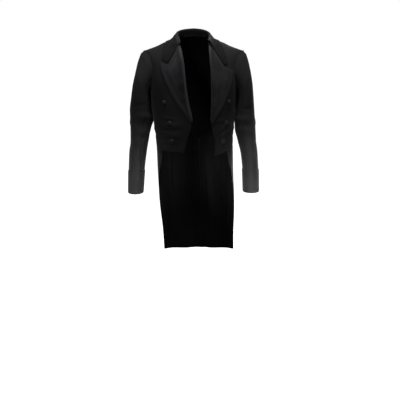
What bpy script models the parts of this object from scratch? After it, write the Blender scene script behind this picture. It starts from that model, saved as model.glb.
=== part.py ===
"""White tie tailcoat, worn open, as separate cut-and-sewn cloth pieces.

Metres, +Z up, the wearer faces -Y. The origin is the middle of the neck at the height of the shoulder seams,
where the shoulders carry the coat. "left" and "right" are the wearer's, so the right side is at -X.
"""

import math
from collections import namedtuple

import bmesh
import bpy
import numpy as np
from mathutils import Matrix, Vector
from mathutils.bvhtree import BVHTree
from mathutils.kdtree import KDTree

# Driving sizes
CLOTH = 0.0020
SLEEVE_CLOTH = 0.0018
LAPEL_CLOTH = 0.0016
COLLAR_CLOTH = 0.0018
SEAM_GAP = 0.0008
LAYER_GAP = 0.0004
LYING_GAP = 0.0012
NECK_GAP = 0.0012

UNDERARM_Z = -0.215
ARCH_LENGTH = 0.33
SECTION_POWER = 2.6
NECK_HALF_WIDTH = 0.075
NECK_BACK_DEPTH = 0.068

SIDES = {"right": -1, "left": 1}

BUTTON_RADIUS = 0.0108
BUTTON_HEIGHT = 0.0055
BUTTON_STANDOFF = 0.0006
BACK_BUTTON_RADIUS = 0.0100

CUFF_HEIGHT = 0.102
CUFF_LIFT = SLEEVE_CLOTH + LAYER_GAP

# Body of the coat below the underarm, seen as level sections
Section = namedtuple("Section", "z half_width front back centre_x")
BODY = (
    Section(-0.215, 0.2000, 0.128, 0.120, -0.004),
    Section(-0.300, 0.1940, 0.130, 0.112, -0.004),
    Section(-0.380, 0.1860, 0.127, 0.098, -0.003),
    Section(-0.450, 0.1800, 0.122, 0.089, -0.001),
    Section(-0.520, 0.1770, 0.119, 0.097, 0.001),
    Section(-0.620, 0.1760, 0.117, 0.117, 0.003),
    Section(-0.740, 0.1765, 0.115, 0.129, 0.008),
    Section(-0.880, 0.1800, 0.112, 0.132, 0.015),
    Section(-1.030, 0.1870, 0.110, 0.128, 0.020),
)

# Half width above the underarm, from the underarm (rise 0) to the shoulder seam (rise 1)
Chest = namedtuple("Chest", "rise half_width")
CHEST = (Chest(0.0, 0.2000), Chest(0.3, 0.2030), Chest(0.6, 0.2130), Chest(1.0, 0.2275))

# Height of the shoulder line, out from the middle of the neck
Shoulder = namedtuple("Shoulder", "out z")
SHOULDER = (
    Shoulder(0.000, 0.0700),
    Shoulder(0.030, 0.0580),
    Shoulder(0.055, 0.0340),
    Shoulder(0.075, 0.0140),
    Shoulder(0.105, 0.0000),
    Shoulder(0.135, -0.0105),
    Shoulder(0.165, -0.0250),
    Shoulder(0.200, -0.0380),
    Shoulder(0.260, -0.0580),
)

# Armhole seam: turn is counted from the shoulder point through the front, angle is round the body
Armhole = namedtuple("Armhole", "turn angle level")
ARMHOLE = (
    Armhole(0, 90, 0.330),
    Armhole(24, 79, 0.297),
    Armhole(48, 68, 0.2475),
    Armhole(70, 60, 0.1815),
    Armhole(92, 58, 0.1155),
    Armhole(115, 62, 0.0495),
    Armhole(135, 68, 0.000),
    Armhole(158, 80, -0.012),
    Armhole(180, 90, -0.016),
    Armhole(202, 100, -0.010),
    Armhole(225, 111, 0.012),
    Armhole(245, 118, 0.0825),
    Armhole(265, 120, 0.1485),
    Armhole(290, 115, 0.2145),
    Armhole(320, 104, 0.2805),
    Armhole(360, 90, 0.330),
)
FRONT_CORNER_TURN = 135
BACK_CORNER_TURN = 245

# Inner edge of each front: cut-away edge, then the roll line, then the neck
Edge = namedtuple("Edge", "level x")
FRONT_EDGE = {
    "right": (
        Edge(-0.282, -0.0480),
        Edge(-0.213, -0.0290),
        Edge(-0.140, -0.0125),
        Edge(-0.063, -0.0275),
        Edge(0.019, -0.0410),
        Edge(0.104, -0.0500),
        Edge(0.150, -0.0575),
        Edge(0.200, -0.0680),
        Edge(0.265, -0.0765),
        Edge(0.330, -0.0790),
    ),
    "left": (
        Edge(-0.297, 0.0940),
        Edge(-0.242, 0.0960),
        Edge(-0.143, 0.0750),
        Edge(-0.041, 0.0780),
        Edge(0.064, 0.0756),
        Edge(0.127, 0.0700),
        Edge(0.165, 0.0675),
        Edge(0.203, 0.0665),
        Edge(0.265, 0.0690),
        Edge(0.330, 0.0710),
    ),
}
FRONT_POINT_Z = {"right": -0.497, "left": -0.512}
FRONT_HEM_END_Z = -0.492
FRONT_HEM_END_ANGLE = 51.3
WAIST_BACK_Z = -0.450
WAIST_BACK_ANGLE = 165.8

# Seam between the side body and the back, above the waist
Seam = namedtuple("Seam", "level angle")
BACK_SEAM = (Seam(-0.235, 165.8), Seam(-0.165, 151.0), Seam(-0.085, 136.0), Seam(0.0, 123.5), Seam(0.0825, 118.0))

# Edges of the tail below the waist: its free front edge, and the pleat where it meets the back
Tail = namedtuple("Tail", "z front_angle pleat_angle")
TAIL = (
    Tail(-1.030, 117.0, 157.4),
    Tail(-0.900, 112.0, 159.5),
    Tail(-0.780, 103.0, 161.3),
    Tail(-0.680, 90.0, 162.8),
    Tail(-0.600, 72.0, 164.0),
    Tail(-0.540, 57.0, 164.8),
    Tail(-0.490, 51.3, 165.3),
    Tail(-0.450, 50.0, 165.8),
)
TAIL_HEM_Z = -1.023
TAIL_CORNER_RISE = 0.014

# Soft flutes in the hanging tails
FLUTE_DEPTH = 0.0065
FLUTES = 2.0
VENT_UNDERLAP = 0.022
VENT_STEP = 0.0048
VENT_RAMP = 0.019

# Lapels: the roll line is the front's own edge, the outline is seen from the front
Outline = namedtuple("Outline", "share x z")
LAPEL_EDGE = {
    "right": (
        Outline(0.00, -0.0180, -0.3560),
        Outline(0.18, -0.0560, -0.3000),
        Outline(0.36, -0.0860, -0.2570),
        Outline(0.54, -0.1120, -0.2090),
        Outline(0.72, -0.1310, -0.1670),
        Outline(0.90, -0.1480, -0.1200),
        Outline(1.00, -0.1515, -0.0960),
    ),
    "left": (
        Outline(0.00, 0.0790, -0.3640),
        Outline(0.18, 0.1020, -0.3280),
        Outline(0.36, 0.1235, -0.2920),
        Outline(0.54, 0.1440, -0.2480),
        Outline(0.72, 0.1600, -0.2060),
        Outline(0.88, 0.1685, -0.1700),
        Outline(1.00, 0.1720, -0.1300),
    ),
}
# Top edge of the lapel, from the roll line along the gorge seam to the notch, and out to the tip
GORGE = {
    "right": (Outline(0.0, -0.0640, -0.0150), Outline(0.70, -0.1120, -0.1025), Outline(1.0, -0.1515, -0.0960)),
    "left": (Outline(0.0, 0.0625, -0.0080), Outline(0.70, 0.1290, -0.1090), Outline(1.0, 0.1720, -0.1300)),
}
LAPEL_BOTTOM_LEVEL = {"right": -0.138, "left": -0.142}

# Section of the lapel across the roll: distance from the edge and height over the front, in the middle of the cloth
Roll = namedtuple("Roll", "out height")
LAPEL_ROLL = (
    Roll(0.0120, -0.0040),
    Roll(0.0015, -0.0040),
    Roll(-0.0029, -0.0024),
    Roll(-0.0041, 0.0008),
    Roll(-0.0026, 0.0040),
    Roll(0.0025, 0.0056),
)
LAPEL_LEAF_COLUMNS = 7
LAPEL_LIE = LYING_GAP + LAPEL_CLOTH / 2
LAPEL_BULGE = 0.0040
LAPEL_BULGE_REACH = 0.024

# Collar, from the nape (share 0) to its corner by the lapel (share 1): the fold on top and the edge of the leaf
Leaf = namedtuple("Leaf", "share fold_x fold_y fold_z edge_x edge_y edge_z")
COLLAR = {
    "right": (
        Leaf(0.00, -0.0020, 0.0660, 0.0500, -0.0020, 0.0790, 0.0030),
        Leaf(0.20, -0.0350, 0.0590, 0.0480, -0.0520, 0.0730, -0.0030),
        Leaf(0.40, -0.0650, 0.0350, 0.0425, -0.0950, 0.0500, -0.0080),
        Leaf(0.55, -0.0790, 0.0060, 0.0350, -0.1190, 0.0180, -0.0060),
        Leaf(0.70, -0.0740, -0.0330, 0.0200, -0.1290, -0.0180, -0.0150),
        Leaf(0.85, -0.0675, -0.0620, 0.0070, -0.1390, -0.0530, -0.0410),
        Leaf(1.00, -0.0645, -0.0825, -0.0070, -0.1440, -0.0820, -0.0800),
    ),
    "left": (
        Leaf(0.00, -0.0020, 0.0660, 0.0500, -0.0020, 0.0790, 0.0030),
        Leaf(0.20, 0.0300, 0.0590, 0.0470, 0.0460, 0.0730, -0.0030),
        Leaf(0.40, 0.0580, 0.0350, 0.0390, 0.0860, 0.0500, -0.0070),
        Leaf(0.55, 0.0690, 0.0060, 0.0300, 0.1020, 0.0180, -0.0050),
        Leaf(0.70, 0.0660, -0.0330, 0.0170, 0.1130, -0.0200, -0.0140),
        Leaf(0.85, 0.0635, -0.0620, 0.0080, 0.1290, -0.0540, -0.0500),
        Leaf(1.00, 0.0640, -0.0815, 0.0035, 0.1485, -0.0860, -0.1000),
    ),
}
COLLAR_SIDE_NECK_SHARE = 0.55
COLLAR_FOLD_RADIUS = 0.0026
COLLAR_LEAF_COLUMNS = 7
COLLAR_LIE = 0.0018 + COLLAR_CLOTH / 2
COLLAR_NOTCH_SHARE = {"right": 0.72, "left": 0.85}
GORGE_GAP = 0.0020

# Largest folds: height is out of the cloth, and bow bends the fold sideways. A place is x and z on the foreparts,
# degrees round the body and z on the tails, and turn round the arm and z on the sleeves.
Fold = namedtuple("Fold", "start_a start_z end_a end_z width height bow")
FRONT_FOLDS = {
    "right": (
        Fold(-0.050, -0.365, -0.165, -0.372, 0.016, 0.0035, 0.006),
        Fold(-0.055, -0.425, -0.160, -0.418, 0.017, 0.0040, -0.005),
        Fold(-0.155, -0.240, -0.150, -0.380, 0.017, -0.0025, 0.004),
    ),
    "left": (
        Fold(0.170, -0.368, 0.128, -0.420, 0.017, 0.0055, -0.004),
        Fold(0.128, -0.415, 0.120, -0.495, 0.017, 0.0050, 0.003),
        Fold(0.165, -0.250, 0.158, -0.350, 0.016, -0.0020, -0.003),
    ),
}
TAIL_FOLDS = {
    "right": (Fold(92, -0.520, 124, -0.980, 0.020, 0.0045, 0.008), Fold(150, -0.560, 146, -0.940, 0.020, 0.0035, 0.006)),
    "left": (Fold(86, -0.500, 120, -0.950, 0.021, 0.0040, -0.008), Fold(145, -0.530, 149, -0.960, 0.020, 0.0038, -0.006)),
}
SLEEVE_FOLDS = {
    "right": (
        Fold(60, -0.340, 175, -0.360, 0.016, 0.0050, 0.010),
        Fold(50, -0.400, 170, -0.405, 0.016, 0.0055, -0.008),
        Fold(55, -0.460, 165, -0.450, 0.017, 0.0040, 0.010),
        Fold(25, -0.110, 58, -0.270, 0.020, 0.0035, 0.008),
    ),
    "left": (
        Fold(55, -0.350, 170, -0.340, 0.016, 0.0050, -0.010),
        Fold(50, -0.405, 172, -0.410, 0.016, 0.0055, 0.008),
        Fold(60, -0.455, 160, -0.465, 0.017, 0.0040, -0.010),
        Fold(24, -0.110, 62, -0.260, 0.020, 0.0032, -0.008),
    ),
}
BODY_DEGREE = 0.0029
SLEEVE_DEGREE = 0.0011

# Sleeve rings, from the armhole to the hem: points nearest to and furthest from the body
Ring = namedtuple("Ring", "step inner_x inner_z outer_x outer_z half_depth centre_y round_share")
SLEEVE = {
    "right": (
        Ring(1, -0.2042, -0.240, -0.2450, -0.060, 0.066, 0.000, 0.35),
        Ring(2, -0.2032, -0.252, -0.2590, -0.098, 0.070, 0.000, 0.70),
        Ring(3, -0.2018, -0.268, -0.2710, -0.145, 0.072, -0.001, 1.0),
        Ring(4, -0.1998, -0.290, -0.2840, -0.200, 0.071, -0.003, 1.0),
        Ring(5, -0.1972, -0.320, -0.2930, -0.260, 0.069, -0.005, 1.0),
        Ring(6, -0.1924, -0.360, -0.3000, -0.320, 0.066, -0.006, 1.0),
        Ring(7, -0.2045, -0.405, -0.2985, -0.385, 0.062, -0.008, 1.0),
        Ring(8, -0.2140, -0.455, -0.2990, -0.450, 0.058, -0.012, 1.0),
        Ring(9, -0.2245, -0.520, -0.3060, -0.520, 0.055, -0.024, 1.0),
        Ring(10, -0.2340, -0.600, -0.3085, -0.600, 0.052, -0.040, 1.0),
        Ring(11, -0.2410, -0.695, -0.3100, -0.695, 0.050, -0.056, 1.0),
    ),
    "left": (
        Ring(1, 0.1960, -0.240, 0.2360, -0.062, 0.066, 0.000, 0.35),
        Ring(2, 0.1950, -0.252, 0.2475, -0.098, 0.070, 0.000, 0.70),
        Ring(3, 0.1936, -0.268, 0.2575, -0.145, 0.072, -0.001, 1.0),
        Ring(4, 0.1920, -0.290, 0.2670, -0.200, 0.071, -0.003, 1.0),
        Ring(5, 0.1894, -0.320, 0.2725, -0.260, 0.069, -0.005, 1.0),
        Ring(6, 0.1856, -0.360, 0.2770, -0.320, 0.066, -0.006, 1.0),
        Ring(7, 0.1880, -0.405, 0.2820, -0.385, 0.062, -0.008, 1.0),
        Ring(8, 0.1995, -0.455, 0.2865, -0.450, 0.058, -0.012, 1.0),
        Ring(9, 0.2150, -0.520, 0.2940, -0.520, 0.055, -0.024, 1.0),
        Ring(10, 0.2235, -0.600, 0.2980, -0.600, 0.052, -0.040, 1.0),
        Ring(11, 0.2265, -0.689, 0.2995, -0.689, 0.050, -0.056, 1.0),
    ),
}
FOREARM_SEAM_TURN = 115
HINDARM_SEAM_TURN = 245
SLEEVE_SEAM_TURN = 0.5
SLEEVE_START = 0.0009
SLEEVE_HEAD_START = 0.0026

# Buttons of the show rows, seen from the front, and of the back waist
Button = namedtuple("Button", "x z")
FRONT_BUTTONS = {
    "right": (Button(-0.1360, -0.271), Button(-0.1110, -0.363), Button(-0.1020, -0.446)),
    "left": (Button(0.1560, -0.268), Button(0.1430, -0.363), Button(0.1290, -0.446)),
}
BACK_BUTTON_OUT = 0.0455
BACK_BUTTON_Z = -0.438


def smooth(rows, key, column):
    """A smooth curve through one column of a table, for numbers or arrays."""
    ordered = sorted(rows, key=lambda row: getattr(row, key))
    xs = np.array([getattr(row, key) for row in ordered], float)
    ys = np.array([getattr(row, column) for row in ordered], float)
    slopes = np.gradient(ys, xs)
    steps = np.diff(ys) / np.diff(xs)
    for i in range(1, len(xs) - 1):
        if steps[i - 1] * steps[i] <= 0:
            slopes[i] = 0.0
        else:
            slopes[i] = 2 * steps[i - 1] * steps[i] / (steps[i - 1] + steps[i])

    def value(at):
        at = np.clip(np.asarray(at, float), xs[0], xs[-1])
        i = np.clip(np.searchsorted(xs, at) - 1, 0, len(xs) - 2)
        width = xs[i + 1] - xs[i]
        t = (at - xs[i]) / width
        rise = ys[i] * (1 + 2 * t) * (1 - t) ** 2 + ys[i + 1] * t * t * (3 - 2 * t)
        return rise + width * (slopes[i] * t * (1 - t) ** 2 - slopes[i + 1] * t * t * (1 - t))

    return value


def mix(a, b, share):
    return a * (1 - share) + b * share


def normalized(vectors):
    return vectors / np.maximum(np.linalg.norm(vectors, axis=-1, keepdims=True), 1e-12)


body_half_width = smooth(BODY, "z", "half_width")
body_front = smooth(BODY, "z", "front")
body_back = smooth(BODY, "z", "back")
body_centre = smooth(BODY, "z", "centre_x")
chest_half_width = smooth(CHEST, "rise", "half_width")
shoulder_height = smooth(SHOULDER, "out", "z")
armhole_angle = smooth(ARMHOLE, "turn", "angle")
armhole_level = smooth(ARMHOLE, "turn", "level")
back_seam_angle = smooth(BACK_SEAM, "level", "angle")
tail_front_angle = smooth(TAIL, "z", "front_angle")
pleat_angle = smooth(TAIL, "z", "pleat_angle")


def body_point(angle, level, side):
    """Outer face of the coat's body: angle 0 is the centre front and 180 the centre back; level is metres from the
    underarm, and above it the length up the arch to the shoulder seam."""
    angle, level = np.broadcast_arrays(np.asarray(angle, float), np.asarray(level, float))
    turn = np.radians(angle)
    across, along = np.sin(turn), np.cos(turn)
    reach = (np.abs(across) ** SECTION_POWER + np.abs(along) ** SECTION_POWER) ** (-1 / SECTION_POWER)
    z = UNDERARM_Z + np.minimum(level, 0)
    rise = np.clip(level / ARCH_LENGTH, 0, 1)
    half_width = np.where(level > 0, chest_half_width(rise), body_half_width(z))
    centre = body_centre(z)
    depth = np.where(along >= 0, -body_front(z), body_back(z))
    out = half_width * reach * across
    arch = rise * math.pi / 2
    y = depth * reach * np.abs(along) * np.cos(arch)
    z = z + (shoulder_height(out) - UNDERARM_Z) * np.sin(arch)
    return np.stack([centre + side * out, y, z], axis=-1)


def angle_at(x, level, side, behind=False):
    """Angle round the body of the point with that x at that level."""
    z = UNDERARM_Z + np.minimum(level, 0)
    rise = np.clip(np.asarray(level, float) / ARCH_LENGTH, 0, 1)
    half_width = np.where(np.asarray(level) > 0, chest_half_width(rise), body_half_width(z))
    share = np.clip(side * (x - body_centre(z)) / half_width, -0.999, 0.999)
    depth = (1 - np.abs(share) ** SECTION_POWER) ** (1 / SECTION_POWER)
    angle = np.degrees(np.arctan2(share, depth))
    return 180 - angle if behind else angle


def level_at(x, z):
    """Level of the front's point seen at x and z."""
    out = np.abs(x - body_centre(UNDERARM_Z))
    share = np.clip((z - UNDERARM_Z) / (shoulder_height(out) - UNDERARM_Z), 0, 1)
    arch = np.arcsin(share) / (math.pi / 2) * ARCH_LENGTH
    return np.where(z > UNDERARM_Z, arch, z - UNDERARM_Z)


def front_at(x, z, side):
    """Outer face of the front at x and z."""
    level = level_at(x, z)
    return body_point(angle_at(x, level, side), level, side)


def lifted(surface, a, b, height):
    """A point of a surface moved out from it by height. The surface takes a and b, and a step in each gives its face."""
    step = 1e-4
    along_a = surface(a + step, b) - surface(a - step, b)
    along_b = surface(a, b + step) - surface(a, b - step)
    return surface(a, b) + normalized(np.cross(along_a, along_b)) * np.asarray(height)[..., None]


def folded(points, normals, a, unit, folds):
    """Points with the folds pressed into them, where a and the points' z tell the place and unit is metres per a."""
    for fold in folds:
        start = np.array((fold.start_a * unit, fold.start_z))
        span = np.array((fold.end_a * unit, fold.end_z)) - start
        length = np.linalg.norm(span)
        off_a, off_z = a * unit - start[0], points[:, 2] - start[1]
        share = (off_a * span[0] + off_z * span[1]) / length**2
        inside = np.clip(share, 0, 1)
        beyond = (share - inside) * length
        across = (off_z * span[0] - off_a * span[1]) / length - fold.bow * 4 * inside * (1 - inside)
        fade = np.sin(math.pi * (0.04 + 0.92 * inside)) ** 0.7
        rise = fold.height * fade * np.exp(-((across / fold.width) ** 2) - (beyond / fold.width) ** 2)
        points = points + normals * rise[:, None]
    return points


def outwards(surface, a, b, sign):
    """Directions out of a surface, whose steps in a and b face out times the sign."""
    step = 1e-4
    along_a = surface(a + step, b) - surface(a - step, b)
    along_b = surface(a, b + step) - surface(a, b - step)
    return normalized(np.cross(along_a, along_b)) * sign


def sheet(name, across, along, place, thickness, colour, offset=-1.0, closed=False):
    """A cloth piece: a grid placed by a function of across and along, given its thickness."""
    mesh = bpy.data.meshes.new(name)
    bm = bmesh.new()
    bmesh.ops.create_grid(bm, x_segments=len(across) - 1, y_segments=len(along) - 1, size=0.5)
    corners = np.array([vert.co for vert in bm.verts])
    column = np.rint((corners[:, 0] + 0.5) * (len(across) - 1)).astype(int)
    row = np.rint((corners[:, 1] + 0.5) * (len(along) - 1)).astype(int)
    points = place(np.asarray(across, float)[column], np.asarray(along, float)[row])
    for vert, point in zip(bm.verts, points):
        vert.co = point
    if closed:
        bmesh.ops.remove_doubles(bm, verts=bm.verts, dist=1e-5)
    bm.to_mesh(mesh)
    bm.free()
    piece = bpy.data.objects.new(name, mesh)
    wall = piece.modifiers.new("wall", "SOLIDIFY")
    wall.thickness = thickness
    wall.offset = offset
    wall.use_even_offset = True
    wall.use_quality_normals = True
    return finish(piece, colour)


def finish(piece, colour):
    material = bpy.data.materials.get(colour.name) or bpy.data.materials.new(colour.name)
    material.use_nodes = True
    shader = material.node_tree.nodes["Principled BSDF"]
    shader.inputs["Base Color"].default_value = (*colour.rgb, 1)
    shader.inputs["Roughness"].default_value = colour.roughness
    shader.inputs["Metallic"].default_value = 0.0
    piece.data.materials.append(material)
    piece.data.shade_smooth()
    piece.data.set_sharp_from_angle(angle=math.radians(50))
    collection.objects.link(piece)
    return piece


Colour = namedtuple("Colour", "name rgb roughness")
BARATHEA = Colour("barathea", (0.020, 0.020, 0.021), 0.85)
SATIN = Colour("satin_facing", (0.024, 0.024, 0.024), 0.42)
VELVET = Colour("collar_cloth", (0.008, 0.008, 0.009), 0.95)
COVERED = Colour("covered_button", (0.022, 0.022, 0.022), 0.5)


def armhole_turns(start, end):
    """Turns of the armhole's corners between two of them, with one more in the middle of each pair."""
    given = [row.turn for row in ARMHOLE if start <= row.turn <= end]
    middles = [(a + b) / 2 for a, b in zip(given, given[1:])]
    return np.array(sorted(given + middles), float)


def facing(side, across):
    """The grid's columns, in the order that points its faces outwards on that side."""
    return across if side > 0 else across[::-1]


def make_front(name, side):
    """Forepart: from the cut-away edge, roll line and neck to the side seam and the armhole."""
    edge = smooth(FRONT_EDGE[name], "level", "x")
    hem_edge_level = FRONT_POINT_Z[name] - UNDERARM_Z
    hem_end_level = FRONT_HEM_END_Z - UNDERARM_Z
    gap = math.degrees(SEAM_GAP / 2 / body_half_width(UNDERARM_Z))

    def place(u, v):
        below = v < 1
        turn = FRONT_CORNER_TURN * (2 - np.clip(v, 1, 2))
        outer_level = np.where(below, mix(hem_end_level, 0.0, v), armhole_level(turn))
        inner_level = np.where(below, mix(hem_edge_level, 0.0, v), armhole_level(turn))
        side_seam = mix(FRONT_HEM_END_ANGLE, armhole_angle(FRONT_CORNER_TURN), v)
        outer = np.where(below, side_seam, armhole_angle(turn)) - gap
        inner = angle_at(edge(inner_level), inner_level, side)
        level = mix(inner_level, outer_level, u)
        angle = mix(inner, outer, u)
        point = body_point(angle, level, side)
        normals = outwards(lambda a, b: body_point(a, b, side), angle, level, side)
        point = folded(point, normals, point[:, 0], 1.0, FRONT_FOLDS[name])
        point[:, 1] -= np.where(v >= 2, SEAM_GAP / 2, 0)
        return point

    upper = 2 - armhole_turns(0, FRONT_CORNER_TURN)[::-1] / FRONT_CORNER_TURN
    rows = np.concatenate([np.linspace(0, 1, 15)[:-1], upper])
    columns = facing(side, np.linspace(0, 1, 12))
    return sheet("front_" + name, columns, rows, place, CLOTH, BARATHEA)


def waist_z(u):
    return mix(FRONT_HEM_END_Z, WAIST_BACK_Z, u)


def make_side_body(name, side):
    """Side body: under the arm, between the forepart and the back, down to the waist seam."""
    gap = math.degrees(SEAM_GAP / 2 / body_half_width(UNDERARM_Z))

    def place(u, v):
        turn = mix(FRONT_CORNER_TURN, BACK_CORNER_TURN, u)
        bottom = waist_z(u) - UNDERARM_Z
        level = mix(bottom, armhole_level(turn), v)
        front_seam = mix(FRONT_HEM_END_ANGLE, armhole_angle(FRONT_CORNER_TURN), v)
        back_seam = back_seam_angle(mix(WAIST_BACK_Z - UNDERARM_Z, armhole_level(BACK_CORNER_TURN), v))
        straight = mix(front_seam, back_seam, u)
        top_bend = armhole_angle(turn) - straight
        angle = straight + top_bend * v**4 + gap * (1 - 2 * u)
        return body_point(angle, level + SEAM_GAP / 2 * (1 - v), side)

    columns = facing(side, np.linspace(0, 1, 9))
    return sheet("side_body_" + name, columns, np.linspace(0, 1, 10), place, CLOTH, BARATHEA)


def flute(angle, z, fade_top):
    """Depth of the soft flutes in the hanging cloth, which fade out towards the waist."""
    fall = np.clip((fade_top - z) / (fade_top - TAIL_HEM_Z), 0, 1)
    return FLUTE_DEPTH * fall**1.3 * np.cos(math.radians(360) * FLUTES * (angle - 100) / 80)


def hung(angle, level, side):
    """The body's face with the tails' flutes."""
    point = body_point(angle, level, side)
    z = UNDERARM_Z + np.minimum(level, 0)
    depth = flute(np.broadcast_to(angle, np.shape(z)), z, WAIST_BACK_Z - 0.06)
    outwards = point - np.stack([body_centre(z), np.zeros_like(z), z], axis=-1)
    return point + normalized(outwards) * depth[..., None]


def make_tail(name, side):
    """Tail: hangs from the waist seam, from its free front edge to the pleat at the back."""

    def place(u, v):
        bottom = TAIL_HEM_Z + TAIL_CORNER_RISE * (1 - u) ** 2
        z = mix(bottom, waist_z(u) - SEAM_GAP / 2, v)
        angle = mix(tail_front_angle(z), pleat_angle(z) - 0.15, u)
        top_angle = mix(FRONT_HEM_END_ANGLE, WAIST_BACK_ANGLE, u)
        angle = mix(angle, top_angle, np.clip(v, 0, 1) ** 6)
        angle = angle - 0.12 * (u >= 1)
        normals = outwards(lambda a, b: hung(a, b, side), angle, z - UNDERARM_Z, side)
        return folded(hung(angle, z - UNDERARM_Z, side), normals, angle, BODY_DEGREE, TAIL_FOLDS[name])

    columns = facing(side, np.linspace(0, 1, 13))
    rows = np.linspace(0, 1, 17)
    return sheet("tail_" + name, columns, rows, place, CLOTH, BARATHEA)


def neck_level(out):
    """Level of the back neck seam, out from the middle."""
    y = NECK_BACK_DEPTH * np.sqrt(np.clip(1 - (out / NECK_HALF_WIDTH) ** 2, 0, 1))
    full = body_back(UNDERARM_Z) * (1 - (out / chest_half_width(0.8)) ** SECTION_POWER) ** (1 / SECTION_POWER)
    return np.arccos(np.clip(y / full, 0, 1)) / (math.pi / 2) * ARCH_LENGTH


def make_back(name, side):
    """Back: from the nape to the hem in one length, with the vent below the waist."""
    armhole_corner = float(armhole_level(BACK_CORNER_TURN))
    waist_level = WAIST_BACK_Z - UNDERARM_Z
    underlap = VENT_UNDERLAP if name == "right" else 0.0
    neck_share = 0.375

    def place(u, v):
        turn = mix(BACK_CORNER_TURN, 360, np.clip(v - 2, 0, 1))
        lower = [v < 1, v < 2]
        rising = mix(waist_level, armhole_corner, v - 1)
        pleat = pleat_angle(mix(TAIL_HEM_Z, WAIST_BACK_Z, v)) + 0.15
        out_angle = np.select(lower, [pleat, back_seam_angle(rising)], armhole_angle(turn))
        out_angle = out_angle + math.degrees(SEAM_GAP / 2 / body_half_width(UNDERARM_Z))
        hanging = mix(TAIL_HEM_Z - UNDERARM_Z, waist_level, v)
        level = np.select(lower, [hanging, rising], armhole_level(turn))
        angle = mix(180.0, out_angle, u)
        outer_out = np.abs(body_point(out_angle, level, 1)[:, 0] - body_centre(UNDERARM_Z))
        share = np.clip(v - 2, 0, 1)
        beyond_neck = mix(NECK_HALF_WIDTH, outer_out, (u - neck_share) / (1 - neck_share))
        top_out = np.where(u < neck_share, u / neck_share * NECK_HALF_WIDTH, beyond_neck)
        top_level = np.where(u < neck_share, neck_level(np.minimum(top_out, NECK_HALF_WIDTH)), ARCH_LENGTH)
        corner = float(armhole_level(BACK_CORNER_TURN))
        reached = mix(corner, top_level, (level - corner) / (ARCH_LENGTH - corner))
        level = np.where(v > 2, mix(level, reached, np.clip(1.3 * (1 - u), 0, 1)), level)
        level = np.where(v >= 3, top_level, level)
        seam_x = body_centre(UNDERARM_Z) + side * top_out
        top_angle = angle_at(seam_x, level, side, behind=True)
        angle = mix(angle, top_angle, share**2)
        point = hung(angle, level, side)
        point[:, 1] += np.where(v >= 3, SEAM_GAP / 2, 0)
        point[:, 0] += side * SEAM_GAP / 2 * (u <= 0)
        if underlap > 0:
            beyond = body_centre(point[:, 2]) - side * underlap
            under = hung(angle_at(beyond, level, -side, behind=True), level, -side)
            vent = np.clip((WAIST_BACK_Z - point[:, 2]) / VENT_RAMP, 0, 1) * (u <= 0)
            point = mix(point, under, vent[:, None])
            deep = np.clip((WAIST_BACK_Z + 0.03 - point[:, 2]) / 0.03, 0, 1) * np.clip(1 - u * 2, 0, 1) ** 1.6
            point[:, 1] -= VENT_STEP * deep
        return point

    columns = facing(-side, np.linspace(0, 1, 9))
    upper = 2 + (armhole_turns(BACK_CORNER_TURN, 360) - BACK_CORNER_TURN) / (360 - BACK_CORNER_TURN)
    vent_rows = [1 - 0.5 / 16]
    rows = np.concatenate([np.linspace(0, 1, 17)[:-1], vent_rows, np.linspace(1, 2, 10)[:-1], upper])
    return sheet("back_" + name, columns, rows, place, CLOTH, BARATHEA)


def notched_shares(columns, notch):
    """Shares across a leaf, with one column on its notch."""
    inner = [0.12 + (notch - 0.12) * i / (columns - 3) for i in range(columns - 2)]
    return np.array(inner + [(notch + 1) / 2, np.ones_like(notch)])


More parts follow.
